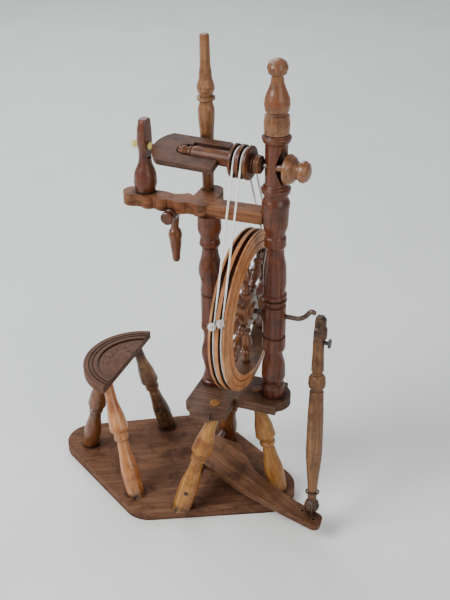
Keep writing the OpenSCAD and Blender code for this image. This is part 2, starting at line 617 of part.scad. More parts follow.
module band_loop(i) {
  xw = wheel_x + (i - 0.5) * groove_pitch;
  sx = groove_x(i);
  c = [sx * cos(spindle_yaw), -sx * sin(spindle_yaw), spindle_z];
  d = sqrt(c[1] * c[1] + pow(c[2] - axle_z, 2));
  lean = atan2(c[1], c[2] - axle_z);
  wrap = asin((band_on_wheel - band_on_whorl) / d);
  // Arc under the wheel
  translate([xw, 0, axle_z]) rotate([0, 90, 0]) rotate([0, 0, -lean]) rotate([0, 0, -90 + wrap])
    arc_rod(band_on_wheel, 180 + 2 * wrap);
  // Arc over the whorl, in the whorl's own plane
  translate(c) rotate([0, 0, -spindle_yaw]) rotate([0, 90, 0]) rotate([0, 0, -lean])
    rotate([0, 0, 90 + wrap]) arc_rod(band_on_whorl, 180 - 2 * wrap);
  // Two straight runs
  for (s = [-1, 1]) {
    a = wheel_point(xw, s * (90 - wrap) + lean, band_on_wheel);
    b = whorl_point(c, s * (90 - wrap) + lean, band_on_whorl);
    rod(a, b, band_r, 20);
    translate(a) sphere(r = band_r + 0.04, $fn = 20);
    translate(b) sphere(r = band_r + 0.04, $fn = 20);
  }
}
// Angles are measured from straight up towards +Y
function wheel_point(x, t, r) = [x, r * sin(t), axle_z + r * cos(t)];
function whorl_point(c, t, r) = c + [
  r * sin(t) * sin(spindle_yaw), r * sin(t) * cos(spindle_yaw), r * cos(t)];
module arc_rod(r, angle) rotate_extrude(angle = angle, $fn = 96)
  translate([r, 0]) circle(r = band_r, $fn = 20);

// Frayed knots where each loop of the cord is tied
knot_at = [-72, -69];    // degrees from straight up, towards the front
module band_knot() color("#f4f1ea") for (i = [0, 1]) {
  a = wheel_point(wheel_x + (i - 0.5) * groove_pitch, knot_at[i], wheel_r + 1);
  translate(a) sphere(r = 1.25, $fn = 24);
}

// Treadle and footman -------------------------------------------------------------------

treadle_tilt = 7.4;    // slope of the treadle at rest, falling to its tip
hinge_x = -1.6;
hinge_z = board_t + 11.2;
plate_top = 2.6;       // top of the treadle above the bar's axis
bar_r = 1.7;
pin_r = 0.9;
bar_y = [-26.1, 15.8];
pin_depth = 3.4;
module on_treadle() translate([hinge_x, 0, hinge_z]) rotate([0, treadle_tilt, 0]) children();
function treadle_z(x) = hinge_z + plate_top / cos(treadle_tilt) - (x - hinge_x) * tan(treadle_tilt);

// Wide foot plate that narrows to a tip: [along, across, corner radius]
treadle_plan = [
  [-6, -12.4, 1.5], [-6, 8.6, 1.5], [12.6, 8, 4], [27, -7.8, 6], [38, -13.4, 6],
  [53.6, -18.6, 12], [69.4, -22.2, 3], [69.8, -31.8, 3.5], [52.2, -28.9, 12], [28.2, -23.9, 12],
  [2.8, -15.8, 6]
];

module treadle_board() color("#6a3d26") on_treadle() difference() {
  translate([0, 0, plate_top - treadle_t]) linear_extrude(treadle_t)
    polygon(rounded([for (p = treadle_plan) [p[0], p[1]]], [for (p = treadle_plan) p[2]], 5));
  translate([0, -60, 0]) rotate([-90, 0, 0]) cylinder(h = 120, r = bar_r + 0.02, $fn = 48);
  for (p = treadle_holes) translate([p[0], p[1], plate_top - treadle_t - cut])
    cylinder(h = treadle_t + 2 * cut, r = 0.75, $fn = 24);
}
treadle_holes = [[58.6, -23.6], [65.6, -26.8]];

module treadle_bar() color("#4a2c20") difference() {
  translate([hinge_x, bar_y[0], hinge_z]) rotate([-90, 0, 0])
    cylinder(h = bar_y[1] - bar_y[0], r = bar_r, $fn = 48);
  for (y = [bar_y[0] - cut, bar_y[1] - pin_depth - joint_fit]) translate([hinge_x, y, hinge_z])
    rotate([-90, 0, 0]) cylinder(h = pin_depth + cut + joint_fit, r = pin_r + 0.02, $fn = 32);
}
front_pin_end = -38.2;
back_pin_end = 24.4;
module treadle_pin_front() color("#77716a") translate([hinge_x, front_pin_end, hinge_z])
  rotate([-90, 0, 0]) cylinder(h = bar_y[0] + pin_depth - front_pin_end, r = pin_r, $fn = 32);
module treadle_pin_back() color("#77716a") translate([hinge_x, bar_y[1] - pin_depth, hinge_z])
  rotate([-90, 0, 0]) cylinder(h = back_pin_end - bar_y[1] + pin_depth, r = pin_r, $fn = 32);
module treadle_pin_bore() translate([hinge_x, -60, hinge_z]) rotate([-90, 0, 0])
  cylinder(h = 120, r = pin_r + running, $fn = 32);

// Footman: turned stick leaning from the treadle's tip up to the crank
ball_r = 3.9;
tie_r = 0.45;
foot_ball = [61.4, -22.6, treadle_z(61.4) + ball_r + 2 * tie_r + 0.3];
footman_head = [post_gap + 22.7, 0, axle_z + 3.4];
footman_l = norm(footman_head - foot_ball);
relief_x = crank_tip[0] + axle_r + clear;
relief_z = axle_z - crank_throw - 1.2 - axle_r - 1.2;

module footman() color("#9c6c40") difference() {
  aim(foot_ball, footman_head) {
    l = footman_l;
    r = footman_r;
    turned([
      [-ball_r, 0], [-ball_r * 0.8, ball_r * 0.6], [-ball_r * 0.4, ball_r * 0.92], [0, ball_r],
      [ball_r * 0.5, ball_r * 0.86], [ball_r * 0.9, r * 0.55], [0.07 * l, r * 0.59],
      [0.31 * l, r], [0.46 * l, r * 0.98], [0.62 * l, r * 0.86], [0.626 * l, r * 0.7],
      [0.636 * l, r * 0.7], [0.642 * l, r * 0.96], [0.66 * l, r * 1.06], [0.69 * l, r * 1.02],
      [0.705 * l, r * 0.84], [0.71 * l, r * 0.62], [0.72 * l, r * 0.62], [0.73 * l, r * 0.76],
      [0.84 * l, r * 0.68], [0.88 * l, r * 0.7], [0.9 * l, r * 0.96], [0.94 * l, r * 0.98],
      [0.955 * l, r * 0.84], [0.99 * l, r * 0.84], [l + 0.4, r * 0.6]
    ]);
  }
  // Relief that lets the crank pass
  translate([relief_x - 20, -30, relief_z]) cube([20, 60, 40]);
  // Hole for the tie nail
  nail_frame() translate([0, 0, -4.5]) cylinder(h = 20, r = nail_r + 0.02, $fn = 24);
}

nail_r = 1;
module nail_frame() translate(foot_ball + 0.875 * (footman_head - foot_ball)) rotate([0, 90, 0]) children();
module footman_nail() color("#5d5a58") nail_frame() {
  translate([0, 0, -0.6]) cylinder(h = 5.6, r = nail_r, $fn = 24);
  translate([0, 0, 4.9]) cylinder(h = 1, r = 2.3, $fn = 32);
}

// Wire ring round the footman's ankle, with a loop that holds it to the treadle
module footman_tie() color("#4b4542") aim(foot_ball, footman_head) {
  translate([0, 0, 0.075 * footman_l]) rotate_extrude($fn = 64)
    translate([footman_r * 0.66 + tie_r, 0]) circle(r = tie_r, $fn = 20);
  rotate([90, 0, 0]) rotate([0, 0, 134]) rotate_extrude(angle = 272, $fn = 64)
    translate([ball_r + tie_r + 0.1, 0]) circle(r = tie_r, $fn = 20);
}

// Stool ---------------------------------------------------------------------------------

seat_centre = [-42.5, -2];
seat_edge = -48.6;
module seat_outline(inset) intersection() {
  translate(seat_centre) circle(r = seat_r - inset, $fn = 128);
  translate([seat_edge - 60, -60]) square([60, 120]);
}
module stool_seat() color("#5a3c32") difference() {
  translate([0, 0, seat_top - seat_t]) linear_extrude(seat_t) seat_outline(0);
  // Ring grooves and the worn hollow
  for (g = [2.6, 4.6]) translate([0, 0, seat_top - 0.5]) linear_extrude(0.5 + cut) difference() {
    seat_outline(g);
    seat_outline(g + 0.8);
  }
  translate([0, 0, seat_top - 0.9]) linear_extrude(0.9 + cut) seat_outline(7.6);
  for (l = [stool_left, stool_front, stool_back])
    translate([l[0][0], l[0][1], seat_top - seat_t - cut])
      cylinder(h = 2.4 + cut + joint_fit, r = leg_tenon_r + joint_fit, $fn = 32);
}
module stool_leg_left() color("#7a4a2c")
  splayed_leg(stool_left[0], stool_left[1], seat_top - seat_t, 2.4, leg_r * 0.94);
module stool_leg_front() color("#a8622e")
  splayed_leg(stool_front[0], stool_front[1], seat_top - seat_t, 2.4, leg_r * 0.94);
module stool_leg_back() color("#43281f")
  splayed_leg(stool_back[0], stool_back[1], seat_top - seat_t, 2.4, leg_r * 0.94);

// Nodes ---------------------------------------------------------------------------------

base_board();
bench();
stand_leg_front();
stand_leg_right();
stand_leg_back();
main_post();
main_post_finial();
second_post();
crossbar();
cross_peg();
pendant_drop();
distaff();
maiden();
maiden_bearing();
flyer();
flyer_shaft();
bobbin();
tension_knob();
wheel_rim();
wheel_spokes();
wheel_hub();
crank_axle();
drive_band();
band_knot();
treadle_board();
treadle_bar();
treadle_pin_front();
treadle_pin_back();
footman();
footman_nail();
footman_tie();
stool_seat();
stool_leg_left();
stool_leg_front();
stool_leg_back();
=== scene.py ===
"""Studio scene of a miniature castle spinning wheel and its stool on one board.

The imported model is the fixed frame. Every wooden and wire part of it is dressed in a procedural
finish here. The cord, its knots and the bent axle are made again in detail, and tufts of wool are
added to the bearing. Lengths are metres, +Z is up and the board's underside lies at z = 0.
"""
import logging
import math
import random
from dataclasses import dataclass, field
from enum import Enum

import bpy
from mathutils import Matrix, Vector


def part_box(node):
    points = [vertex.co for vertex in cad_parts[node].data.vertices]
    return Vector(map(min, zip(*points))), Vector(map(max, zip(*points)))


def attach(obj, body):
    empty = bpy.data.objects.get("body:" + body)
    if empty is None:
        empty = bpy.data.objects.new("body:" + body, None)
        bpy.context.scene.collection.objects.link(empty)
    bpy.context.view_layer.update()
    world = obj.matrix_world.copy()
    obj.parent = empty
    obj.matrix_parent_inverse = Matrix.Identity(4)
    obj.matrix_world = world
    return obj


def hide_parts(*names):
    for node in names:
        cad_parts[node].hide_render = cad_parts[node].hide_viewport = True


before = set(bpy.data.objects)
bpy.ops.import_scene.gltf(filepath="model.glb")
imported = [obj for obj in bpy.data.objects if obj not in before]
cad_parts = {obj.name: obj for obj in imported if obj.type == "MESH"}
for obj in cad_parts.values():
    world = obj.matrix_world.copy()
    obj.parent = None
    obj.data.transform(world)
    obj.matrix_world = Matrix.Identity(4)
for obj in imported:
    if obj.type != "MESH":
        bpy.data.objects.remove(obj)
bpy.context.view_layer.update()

log = logging.getLogger("spinning_wheel")

Point = tuple[float, float, float]
Colour = tuple[float, float, float]
Socket = bpy.types.NodeSocket
MM = 0.001

# Up, and along the wheel's axle.
UP: Point = (0.0, 0.0, 1.0)
ACROSS: Point = (1.0, 0.0, 0.0)


def srgb(code: str) -> Colour:
    """Turn a colour written as six hex digits into linear light.

    Args:
        code: Six hex digits, red first.

    Returns:
        Linear red, green and blue.
    """
    parts = [int(code[i:i + 2], 16) / 255 for i in (0, 2, 4)]
    return tuple(c / 12.92 if c < 0.04045 else ((c + 0.055) / 1.055) ** 2.4 for c in parts)


# Finishes -------------------------------------------------------------------------------


class Cut(Enum):
    """How a piece of wood was worked."""

    TURNED = "turned on a lathe"
    SAWN = "sawn and planed flat"


class Wave(Enum):
    """The sums that a finish can work out."""

    ADD = "ADD"
    SUB = "SUBTRACT"
    MUL = "MULTIPLY"
    SINE = "SINE"
    POWER = "POWER"
    SIZE = "ABSOLUTE"


class Graph:
    """A thin typed front for one material's node tree."""

    def __init__(self, name: str) -> None:
        """Start an empty material with one Principled shader.

        Args:
            name: The material's name.
        """
        self.material = bpy.data.materials.new(name)
        self.material.use_nodes = True
        self.tree = self.material.node_tree
        self.shader = next(n for n in self.tree.nodes if n.type == "BSDF_PRINCIPLED")

    def add(self, kind: str, **settings: object) -> bpy.types.Node:
        """Add a node and set its properties.

        Args:
            kind: The node's type without the ShaderNode part.
            **settings: Properties of the node.

        Returns:
            The new node.
        """
        node = self.tree.nodes.new("ShaderNode" + kind)
        for key, value in settings.items():
            setattr(node, key, value)
        return node

    def feed(self, socket: Socket, value: object) -> None:
        """Link a socket, or set a plain value on it.

        Args:
            socket: The socket that takes the value.
            value: Another socket, a number or a colour.
        """
        if isinstance(value, bpy.types.NodeSocket):
            self.tree.links.new(value, socket)
        elif isinstance(value, tuple) and socket.type == "RGBA":
            socket.default_value = (*value, 1.0)
        else:
            socket.default_value = value

    def place(self) -> Socket:
        """Give the point's place in the model's frame, as it is at rest."""
        return self.add("TexCoord").outputs["Object"]

    def math(self, wave: Wave, a: object, b: object = 0.0) -> Socket:
        """Work out one number from one or two others.

        Args:
            wave: The operation.
            a: First number or socket.
            b: Second number or socket.

        Returns:
            The result.
        """
        node = self.add("Math", operation=wave.value)
        self.feed(node.inputs[0], a)
        self.feed(node.inputs[1], b)
        return node.outputs[0]

    def turned_to(self, point: Socket, centre: Point, axis: Point) -> Socket:
        """Give a point in a piece's own frame, with its long axis upright.

        Args:
            point: The point in the model's frame.
            centre: A point on the piece's axis.
            axis: The direction of the axis.

        Returns:
            The point, from the centre, with the axis turned to +Z.
        """
        turn = Vector(axis).normalized().rotation_difference(Vector(UP))
        shift = self.add("VectorMath", operation="SUBTRACT")
        self.feed(shift.inputs[0], point)
        self.feed(shift.inputs[1], centre)
        node = self.add("Mapping", vector_type="POINT")
        self.feed(node.inputs["Vector"], shift.outputs[0])
        self.feed(node.inputs["Rotation"], tuple(turn.to_euler("XYZ")))
        return node.outputs[0]

    def stretched(self, point: Socket, across: float, along: float) -> Socket:
        """Scale a piece's own frame for a pattern that runs along its axis.

        Args:
            point: The point in the piece's own frame.
            across: How many features a metre holds across the axis.
            along: How many it holds along the axis.

        Returns:
            The scaled point.
        """
        node = self.add("VectorMath", operation="MULTIPLY")
        self.feed(node.inputs[0], point)
        self.feed(node.inputs[1], (across, across, along))
        return node.outputs[0]

    def split(self, point: Socket) -> tuple[Socket, Socket, Socket]:
        """Take a point apart into its three numbers.

        Args:
            point: The point.

        Returns:
            Its x, y and z.
        """
        node = self.add("SeparateXYZ")
        self.feed(node.inputs[0], point)
        return tuple(node.outputs)

    def noise(self, point: Socket, scale: float, detail: float = 3.0, rough: float = 0.5,
              bend: float = 0.0) -> Socket:
        """Sample cloudy noise.

        Args:
            point: Where to sample it.
            scale: How many features per unit.
            detail: Octaves.
            rough: Strength of the finer octaves.
            bend: How far the noise distorts itself.

        Returns:
            A number round 0.5.
        """
        node = self.add("TexNoise")
        for key, value in (("Vector", point), ("Scale", scale), ("Detail", detail),
                           ("Roughness", rough), ("Distortion", bend)):
            self.feed(node.inputs[key], value)
        return node.outputs["Fac"]

    def lines(self, number: Socket, scale: float, detail: float = 2.0) -> Socket:
        """Sample noise along a single number, for rings and lathe lines.

        Args:
            number: Where to sample it.
            scale: How many features per metre.
            detail: Octaves.

        Returns:
            A number round 0.5.
        """
        node = self.add("TexNoise", noise_dimensions="1D")
        for key, value in (("W", number), ("Scale", scale), ("Detail", detail),
                           ("Roughness", 0.6)):
            self.feed(node.inputs[key], value)
        return node.outputs["Fac"]

    def fade(self, value: Socket, low: float, high: float, start: float = 0.0,
             end: float = 1.0) -> Socket:
        """Map a range of numbers smoothly onto another, without overshoot.

        Args:
            value: The number to map.
            low: The number that gives the start.
            high: The number that gives the end.
            start: The result at low and below it.
            end: The result at high and above it.

        Returns:
            The mapped number.
        """
        node = self.add("MapRange", interpolation_type="SMOOTHSTEP")
        for key, number in (("Value", value), ("From Min", low), ("From Max", high),
                            ("To Min", start), ("To Max", end)):
            self.feed(node.inputs[key], number)
        return node.outputs[0]

    def mix(self, share: object, a: object, b: object) -> Socket:
        """Blend two colours.

        Args:
            share: How much of the second colour shows.
            a: First colour.
            b: Second colour.

        Returns:
            The blended colour.
        """
        node = self.add("Mix", data_type="RGBA")
        self.feed(node.inputs["Factor"], share)
        self.feed(node.inputs[6], a)
        self.feed(node.inputs[7], b)
        return node.outputs[2]

    def crevice_shade(self, reach: float, low: float, high: float) -> Socket:
        """Say how deep in a groove or joint a point lies, by ambient occlusion, to paint shade
        there.

        Args:
            reach: How far neighbouring surfaces count.
            low: Openness that counts as fully inside.
            high: Openness that counts as fully out.

        Returns:
            1 in the groove and 0 in the open.
        """
        node = self.add("AmbientOcclusion", samples=6)
        node.inputs["Distance"].default_value = reach
        return self.fade(node.outputs["AO"], low, high, 1.0, 0.0)

    def edge(self, radius: float, low: float, high: float) -> Socket:
        """Say how near a sharp edge a point lies.

        Args:
            radius: How far from the edge it still counts.
            low: Likeness of the rounded and the flat facing that counts as fully at the edge.
            high: Likeness that counts as fully off it.

        Returns:
            1 at the edge and 0 in the middle of a face.
        """
        bevel = self.add("Bevel", samples=4)
        bevel.inputs["Radius"].default_value = radius
        flat = self.add("NewGeometry")
        dot = self.add("VectorMath", operation="DOT_PRODUCT")
        self.feed(dot.inputs[0], bevel.outputs[0])
        self.feed(dot.inputs[1], flat.outputs["Normal"])
        return self.fade(dot.outputs["Value"], low, high, 1.0, 0.0)

    def bump(self, height: Socket, strength: float, depth: float) -> None:
        """Roughen the surface.

        Args:
            height: The height pattern.
            strength: Share of it that shows, set on the node itself.
            depth: Its depth in metres.
        """
        node = self.add("Bump")
        node.inputs["Strength"].default_value = strength
        node.inputs["Distance"].default_value = depth
        self.feed(node.inputs["Height"], height)
        self.feed(self.shader.inputs["Normal"], node.outputs[0])

    def set(self, **values: object) -> None:
        """Set the Principled shader's sockets, with _ for a space in a name."""
        for key, value in values.items():
            self.feed(self.shader.inputs[key.replace("_", " ")], value)


@dataclass(frozen=True)
class WoodTone:
    """The colours of one stained wood.

    Attributes:
        deep: Late wood and stain that has run into the grain.
        main: The colour of most of the surface.
        pale: Early wood and rubbed places.
        worn: Bare edges.
        flush: Patches where the stain took redder.
        grime_and_shade: Dirt in pores, stains, turned lines and cracks, and the painted shade in
            grooves and joints.
    """

    deep: Colour
    main: Colour
    pale: Colour
    worn: Colour
    flush: Colour
    grime_and_shade: Colour = srgb("150b07")


# Features of a pattern in one metre, across the grain and along it.
STREAKS = (620, 34)
FIBRES = (3100, 130)
PORES = (1900, 90)
RING_WANDER = (90, 16)

# Features of a cloudy or lined pattern in one metre.
FLUSHES, CLOUDS, SCUFFS = 46.0, 95.0, 420.0
LATHE_LINES, CHISEL_MARKS = 900.0, 1400.0

# Widths of worn edges and reach of the painted shade in grooves and joints, in metres.
WORN_EDGE, GROOVE_SHADE_REACH = 0.0007, 0.0034

# Depth of the surface's roughness, dry and under a clear coat, in metres, and the weight above
# which a coat counts.
DRY_RELIEF, COATED_RELIEF, COATED = 0.0002, 0.00008, 0.2


@dataclass(frozen=True)
class WoodFinish:
    """A stained, waxed wood whose grain follows one piece.

    Attributes:
        name: The material's name.
        tone: Its colours.
        centre: A point on the piece's axis, or on its face.
        axis: The direction that the grain runs in.
        cut: Turned or sawn.
        pith: Where the heart of the tree was, across the axis, in metres.
        ring: Distance between year rings, in metres.
        gloss: Roughness of the waxed parts.
        wear: How much bare edge shows.
        varnish: Weight of the clear coat.
        shine: How strongly the bare surface mirrors the room.
        figure: How dark the year rings stand out.
        stains: Dark ends, each (where it starts, where it is full) along the axis.
    """

    name: str
    tone: WoodTone
    centre: Point
    axis: Point = UP
    cut: Cut = Cut.TURNED
    pith: tuple[float, float] = (0.006, 0.004)
    ring: float = 0.0016
    gloss: float = 0.34
    wear: float = 0.5
    varnish: float = 0.28
    shine: float = 0.28
    figure: float = 0.22
    stains: tuple[tuple[float, float], ...] = ()

    def build(self) -> bpy.types.Material:
        """Make the material.

        Returns:
            The finished material.
        """
        g = Graph(self.name)
        t = self.tone
        place = g.place()
        own = g.turned_to(place, self.centre, self.axis)
        x, y, z = g.split(own)
        streak = g.noise(g.stretched(own, *STREAKS), 1.0, 5, 0.62, 0.4)
        fibre = g.noise(g.stretched(own, *FIBRES), 1.0, 3, 0.6)
        pores = g.fade(g.noise(g.stretched(own, *PORES), 1.0, 2, 0.5), 0.6, 0.7)
        wander = g.noise(g.stretched(own, *RING_WANDER), 1.0, 2, 0.5)
        rings = self._rings(g, x, y, wander)
        cloud = g.noise(place, CLOUDS, 4, 0.66, 0.5)
        tone = g.mix(g.fade(streak, 0.36, 0.66), t.main, t.pale)
        tone = g.mix(g.math(Wave.MUL, rings, self.figure), tone, t.deep)
        redder = g.noise(place, FLUSHES, 3, 0.6, 0.4)
        tone = g.mix(g.fade(redder, 0.46, 0.62, 0.0, 0.6), tone, t.flush)
        tone = g.mix(g.fade(cloud, 0.48, 0.68, 0.0, 0.6), tone, t.deep)
        tone = g.mix(g.math(Wave.MUL, pores, 0.45), tone, t.grime_and_shade)
        tone = self._lathe_lines(g, tone, z)
        scuff = g.noise(place, SCUFFS, 4, 0.65)
        for start, full in self.stains:
            patchy = g.fade(scuff, 0.3, 0.62, 1.0, 0.45)
            soot = g.math(Wave.MUL, g.fade(z, start, full), patchy)
            tone = g.mix(soot, tone, t.grime_and_shade)
        edge = g.edge(WORN_EDGE, 0.86, 0.985)
        rubbed = g.math(Wave.MUL, edge, g.fade(scuff, 0.4, 0.62, 0.0, self.wear))
        tone = g.mix(rubbed, tone, t.worn)
        # Painted shade: grooves and joints darkened by ambient occlusion, in the dark dirt colour.
        groove = g.crevice_shade(GROOVE_SHADE_REACH, 0.42, 0.88)
        tone = g.mix(g.math(Wave.MUL, groove, 0.85), tone, t.grime_and_shade)
        rough = g.fade(streak, 0.3, 0.7, self.gloss - 0.08, self.gloss + 0.14)
        rough = g.math(Wave.ADD, rough, g.math(Wave.MUL, groove, 0.3))
        g.set(Base_Color=tone, Roughness=rough)
        g.set(Specular_IOR_Level=self.shine, Coat_Weight=self.varnish, Coat_Roughness=0.2,
              IOR=1.5)
        relief = COATED_RELIEF if self.varnish > COATED else DRY_RELIEF
        g.bump(self._height(g, fibre, pores, z, scuff), 0.5, relief)
        return g.material

    def _rings(self, g: Graph, x: Socket, y: Socket, wander: Socket) -> Socket:
        """Cut the tree's year rings with the piece.

        Args:
            g: The material's graph.
            x: The point's place across the piece's axis.
            y: Its place the other way across it.
            wander: How far the ring strays there.

        Returns:
            1 in late wood and 0 in early wood.
        """
        dx = g.math(Wave.SUB, x, self.pith[0])
        dy = g.math(Wave.SUB, y, self.pith[1])
        square = g.math(Wave.ADD, g.math(Wave.MUL, dx, dx), g.math(Wave.MUL, dy, dy))
        radius = g.math(Wave.POWER, square, 0.5)
        radius = g.math(Wave.ADD, radius, g.math(Wave.MUL, wander, self.ring * 2.6))
        phase = g.math(Wave.MUL, radius, 2 * math.pi / self.ring)
        return g.fade(g.math(Wave.SINE, phase), 0.15, 0.95)

    def _lathe_lines(self, g: Graph, tone: Socket, z: Socket) -> Socket:
        """Darken the fine lines that the chisel leaves round turned work.

        Args:
            g: The material's graph.
            tone: The colour so far.
            z: The point's place along the piece's axis.

        Returns:
            The colour with its lines.
        """
        if self.cut is not Cut.TURNED:
            return tone
        line = g.fade(g.lines(z, LATHE_LINES, 3), 0.58, 0.72)
        return g.mix(g.math(Wave.MUL, line, 0.2), tone, self.tone.deep)

    def _height(self, g: Graph, fibre: Socket, pores: Socket, z: Socket,
                scuff: Socket) -> Socket:
        """Add up fibres, pores, dents and chisel lines into one height.

        Args:
            g: The material's graph.
            fibre: The fine fibres.
            pores: The open pores, which are sunk.
            z: The point's place along the piece's axis.
            scuff: The dents.

        Returns:
            The height.
        """
        height = g.math(Wave.SUB, g.math(Wave.MUL, fibre, 0.45), g.math(Wave.MUL, pores, 0.5))
        height = g.math(Wave.ADD, height, g.math(Wave.MUL, scuff, 0.35))
        if self.cut is Cut.TURNED:
            marks = g.lines(z, CHISEL_MARKS, 2)
            height = g.math(Wave.ADD, height, g.math(Wave.MUL, marks, 0.8))
        return height


# Features in one metre of the patterns on ringed wood: grain along the plank and across it, turned
# lines, clouds and cracks.
PLANK_GRAIN = (60.0, 700.0, 700.0)
RING_FINE, RING_COARSE = 2300.0, 620.0
RING_FLUSHES, RING_CLOUDS, RING_SCUFFS = 40.0, 85.0, 520.0
CRACK_WEB, CRACK_FLAKES, CRACK_PATCHES = 150.0, 330.0, 70.0

# Worn edge, reach of the painted shade in grooves, depth of roughness and blend at the bore, in
# metres.
RING_EDGE, RING_SHADE_REACH, RING_RELIEF, BORE_BLEND = 0.0006, 0.0026, 0.00024, 0.0004
# Colour of the painted shade and dirt on the rim's bore.
BORE_SHADE_AND_DIRT = srgb("2a1d19")


@dataclass(frozen=True)
class RingFinish:
    """Wood with lines cut round a centre: the wheel's rim and the stool's seat.

    Attributes:
        name: The material's name.
        tone: Its colours.
        centre: The centre of the rings.
        axis: The direction that the rings face in.
        bore: Radius inside which the surface is painted dark with shade and dirt, or 0.
        split: Radius inside which the surface has dried and cracked, or 0.
        gloss: Roughness of the waxed parts.
        shine: How strongly the surface mirrors the room.
    """

    name: str
    tone: WoodTone
    centre: Point
    axis: Point
    bore: float = 0.0
    split: float = 0.0
    gloss: float = 0.45
    shine: float = 0.2

    def build(self) -> bpy.types.Material:
        """Make the material.

        Returns:
            The finished material.
        """
        g = Graph(self.name)
        t = self.tone
        place = g.place()
        own = g.turned_to(place, self.centre, self.axis)
        x, y, _ = g.split(own)
        square = g.math(Wave.ADD, g.math(Wave.MUL, x, x), g.math(Wave.MUL, y, y))
        radius = g.math(Wave.POWER, square, 0.5)
        grain = g.noise(self._sawn(g, own), 1.0, 4, 0.6, 0.3)
        fine = g.lines(radius, RING_FINE, 3)
        coarse = g.lines(radius, RING_COARSE, 2)
        cloud = g.noise(place, RING_CLOUDS, 4, 0.62)
        tone = g.mix(g.fade(grain, 0.36, 0.64), t.main, t.pale)
        redder = g.noise(place, RING_FLUSHES, 3, 0.6, 0.4)
        tone = g.mix(g.fade(redder, 0.46, 0.62, 0.0, 0.6), tone, t.flush)
        tone = g.mix(g.fade(coarse, 0.5, 0.66, 0.0, 0.4), tone, t.deep)
        tone = g.mix(g.fade(fine, 0.56, 0.68, 0.0, 0.4), tone, t.grime_and_shade)
        tone = g.mix(g.fade(cloud, 0.5, 0.7, 0.0, 0.5), tone, t.deep)
        scuff = g.noise(place, RING_SCUFFS, 4, 0.65)
        # Painted shade and dirt on the bore's inner face.
        if self.bore > 0:
            inside = g.fade(radius, self.bore, self.bore + BORE_BLEND, 0.8, 0.0)
            tone = g.mix(inside, tone, BORE_SHADE_AND_DIRT)
        crack = None
        if self.split > 0:
            inside = g.fade(radius, self.split * 0.8, self.split, 1.0, 0.0)
            crack = g.math(Wave.MUL, self._cracks(g, place), inside)
            tone = g.mix(g.math(Wave.MUL, crack, 0.9), tone, t.grime_and_shade)
        edge = g.edge(RING_EDGE, 0.86, 0.985)
        rubbed = g.math(Wave.MUL, edge, g.fade(scuff, 0.4, 0.62, 0.0, 0.35))
        tone = g.mix(rubbed, tone, t.worn)
        # Painted shade: grooves darkened by ambient occlusion, in the dark dirt colour.
        groove = g.crevice_shade(RING_SHADE_REACH, 0.45, 0.9)
        tone = g.mix(g.math(Wave.MUL, groove, 0.88), tone, t.grime_and_shade)
        rough = g.fade(grain, 0.3, 0.7, self.gloss - 0.06, self.gloss + 0.16)
        g.set(Base_Color=tone, Roughness=rough)
        g.set(Specular_IOR_Level=self.shine, Coat_Weight=0.05, Coat_Roughness=0.3, IOR=1.5)
        height = g.math(Wave.ADD, g.math(Wave.MUL, fine, 0.9), g.math(Wave.MUL, scuff, 0.3))
        if crack is not None:
            height = g.math(Wave.SUB, height, g.math(Wave.MUL, crack, 1.6))
        g.bump(height, 0.55, RING_RELIEF)
        return g.material

    def _cracks(self, g: Graph, place: Socket) -> Socket:
        """Scatter thin dark splits in the dried middle, fewer where it is sound.

        Args:
            g: The material's graph.
            place: The point in the model's frame.

        Returns:
            1 in a split and 0 in sound wood.
        """
        web = g.noise(place, CRACK_WEB, 3, 0.6, 1.2)
        thin = g.fade(g.math(Wave.SIZE, g.math(Wave.SUB, web, 0.5)), 0.0, 0.034, 1.0, 0.0)
        flaked = g.fade(g.noise(place, CRACK_FLAKES, 4, 0.7), 0.57, 0.62, 0.0, 0.7)
        some = g.fade(g.noise(place, CRACK_PATCHES, 2, 0.5), 0.44, 0.56)
        return g.math(Wave.MUL, g.math(Wave.ADD, thin, flaked), some)

    def _sawn(self, g: Graph, own: Socket) -> Socket:
        """Stretch the plank's grain along the piece's own first direction.

        Args:
            g: The material's graph.
            own: The point in the piece's own frame.

        Returns:
            The scaled point.
        """
        node = g.add("VectorMath", operation="MULTIPLY")
        g.feed(node.inputs[0], own)
        g.feed(node.inputs[1], PLANK_GRAIN)
        return node.outputs[0]


# Features of rust and grit in one metre, and the reach of the wire's painted shade and its
# roughness in metres.
RUST_PATCHES, IRON_GRIT = 700.0, 3800.0
WIRE_SHADE_REACH, WIRE_RELIEF = 0.002, 0.0001
# Colour of the painted shade in the wire's hollows.
WIRE_SHADE = srgb("140d0b")


@dataclass(frozen=True)
class WireFinish:
    """Iron wire gone brown with age.

    Attributes:
        name: The material's name.
        metal: Colour of the bare metal.
        rust: Colour of the brown patches.
    """

    name: str
    metal: Colour
    rust: Colour

    def build(self) -> bpy.types.Material:
        """Make the material.

        Returns:
            The finished material.
        """
        g = Graph(self.name)
        place = g.place()
        patch = g.fade(g.noise(place, RUST_PATCHES, 5, 0.65), 0.42, 0.6)
        grit = g.noise(place, IRON_GRIT, 3, 0.6)
        tone = g.mix(patch, self.metal, self.rust)
        # Painted shade: the wire's hollows darkened by ambient occlusion.
        tone = g.mix(g.crevice_shade(WIRE_SHADE_REACH, 0.45, 0.95), tone, WIRE_SHADE)
        g.set(Base_Color=tone, Metallic=g.fade(patch, 0.0, 1.0, 0.7, 0.15),
              Roughness=g.fade(patch, 0.0, 1.0, 0.36, 0.62))
        g.bump(g.math(Wave.ADD, grit, g.math(Wave.MUL, patch, 0.6)), 0.4, WIRE_RELIEF)
        return g.material


# Features of soiling and lint in one metre, and the lint's depth in metres.
SOILING, LINT, LINT_RELIEF = 160.0, 5200.0, 0.00012


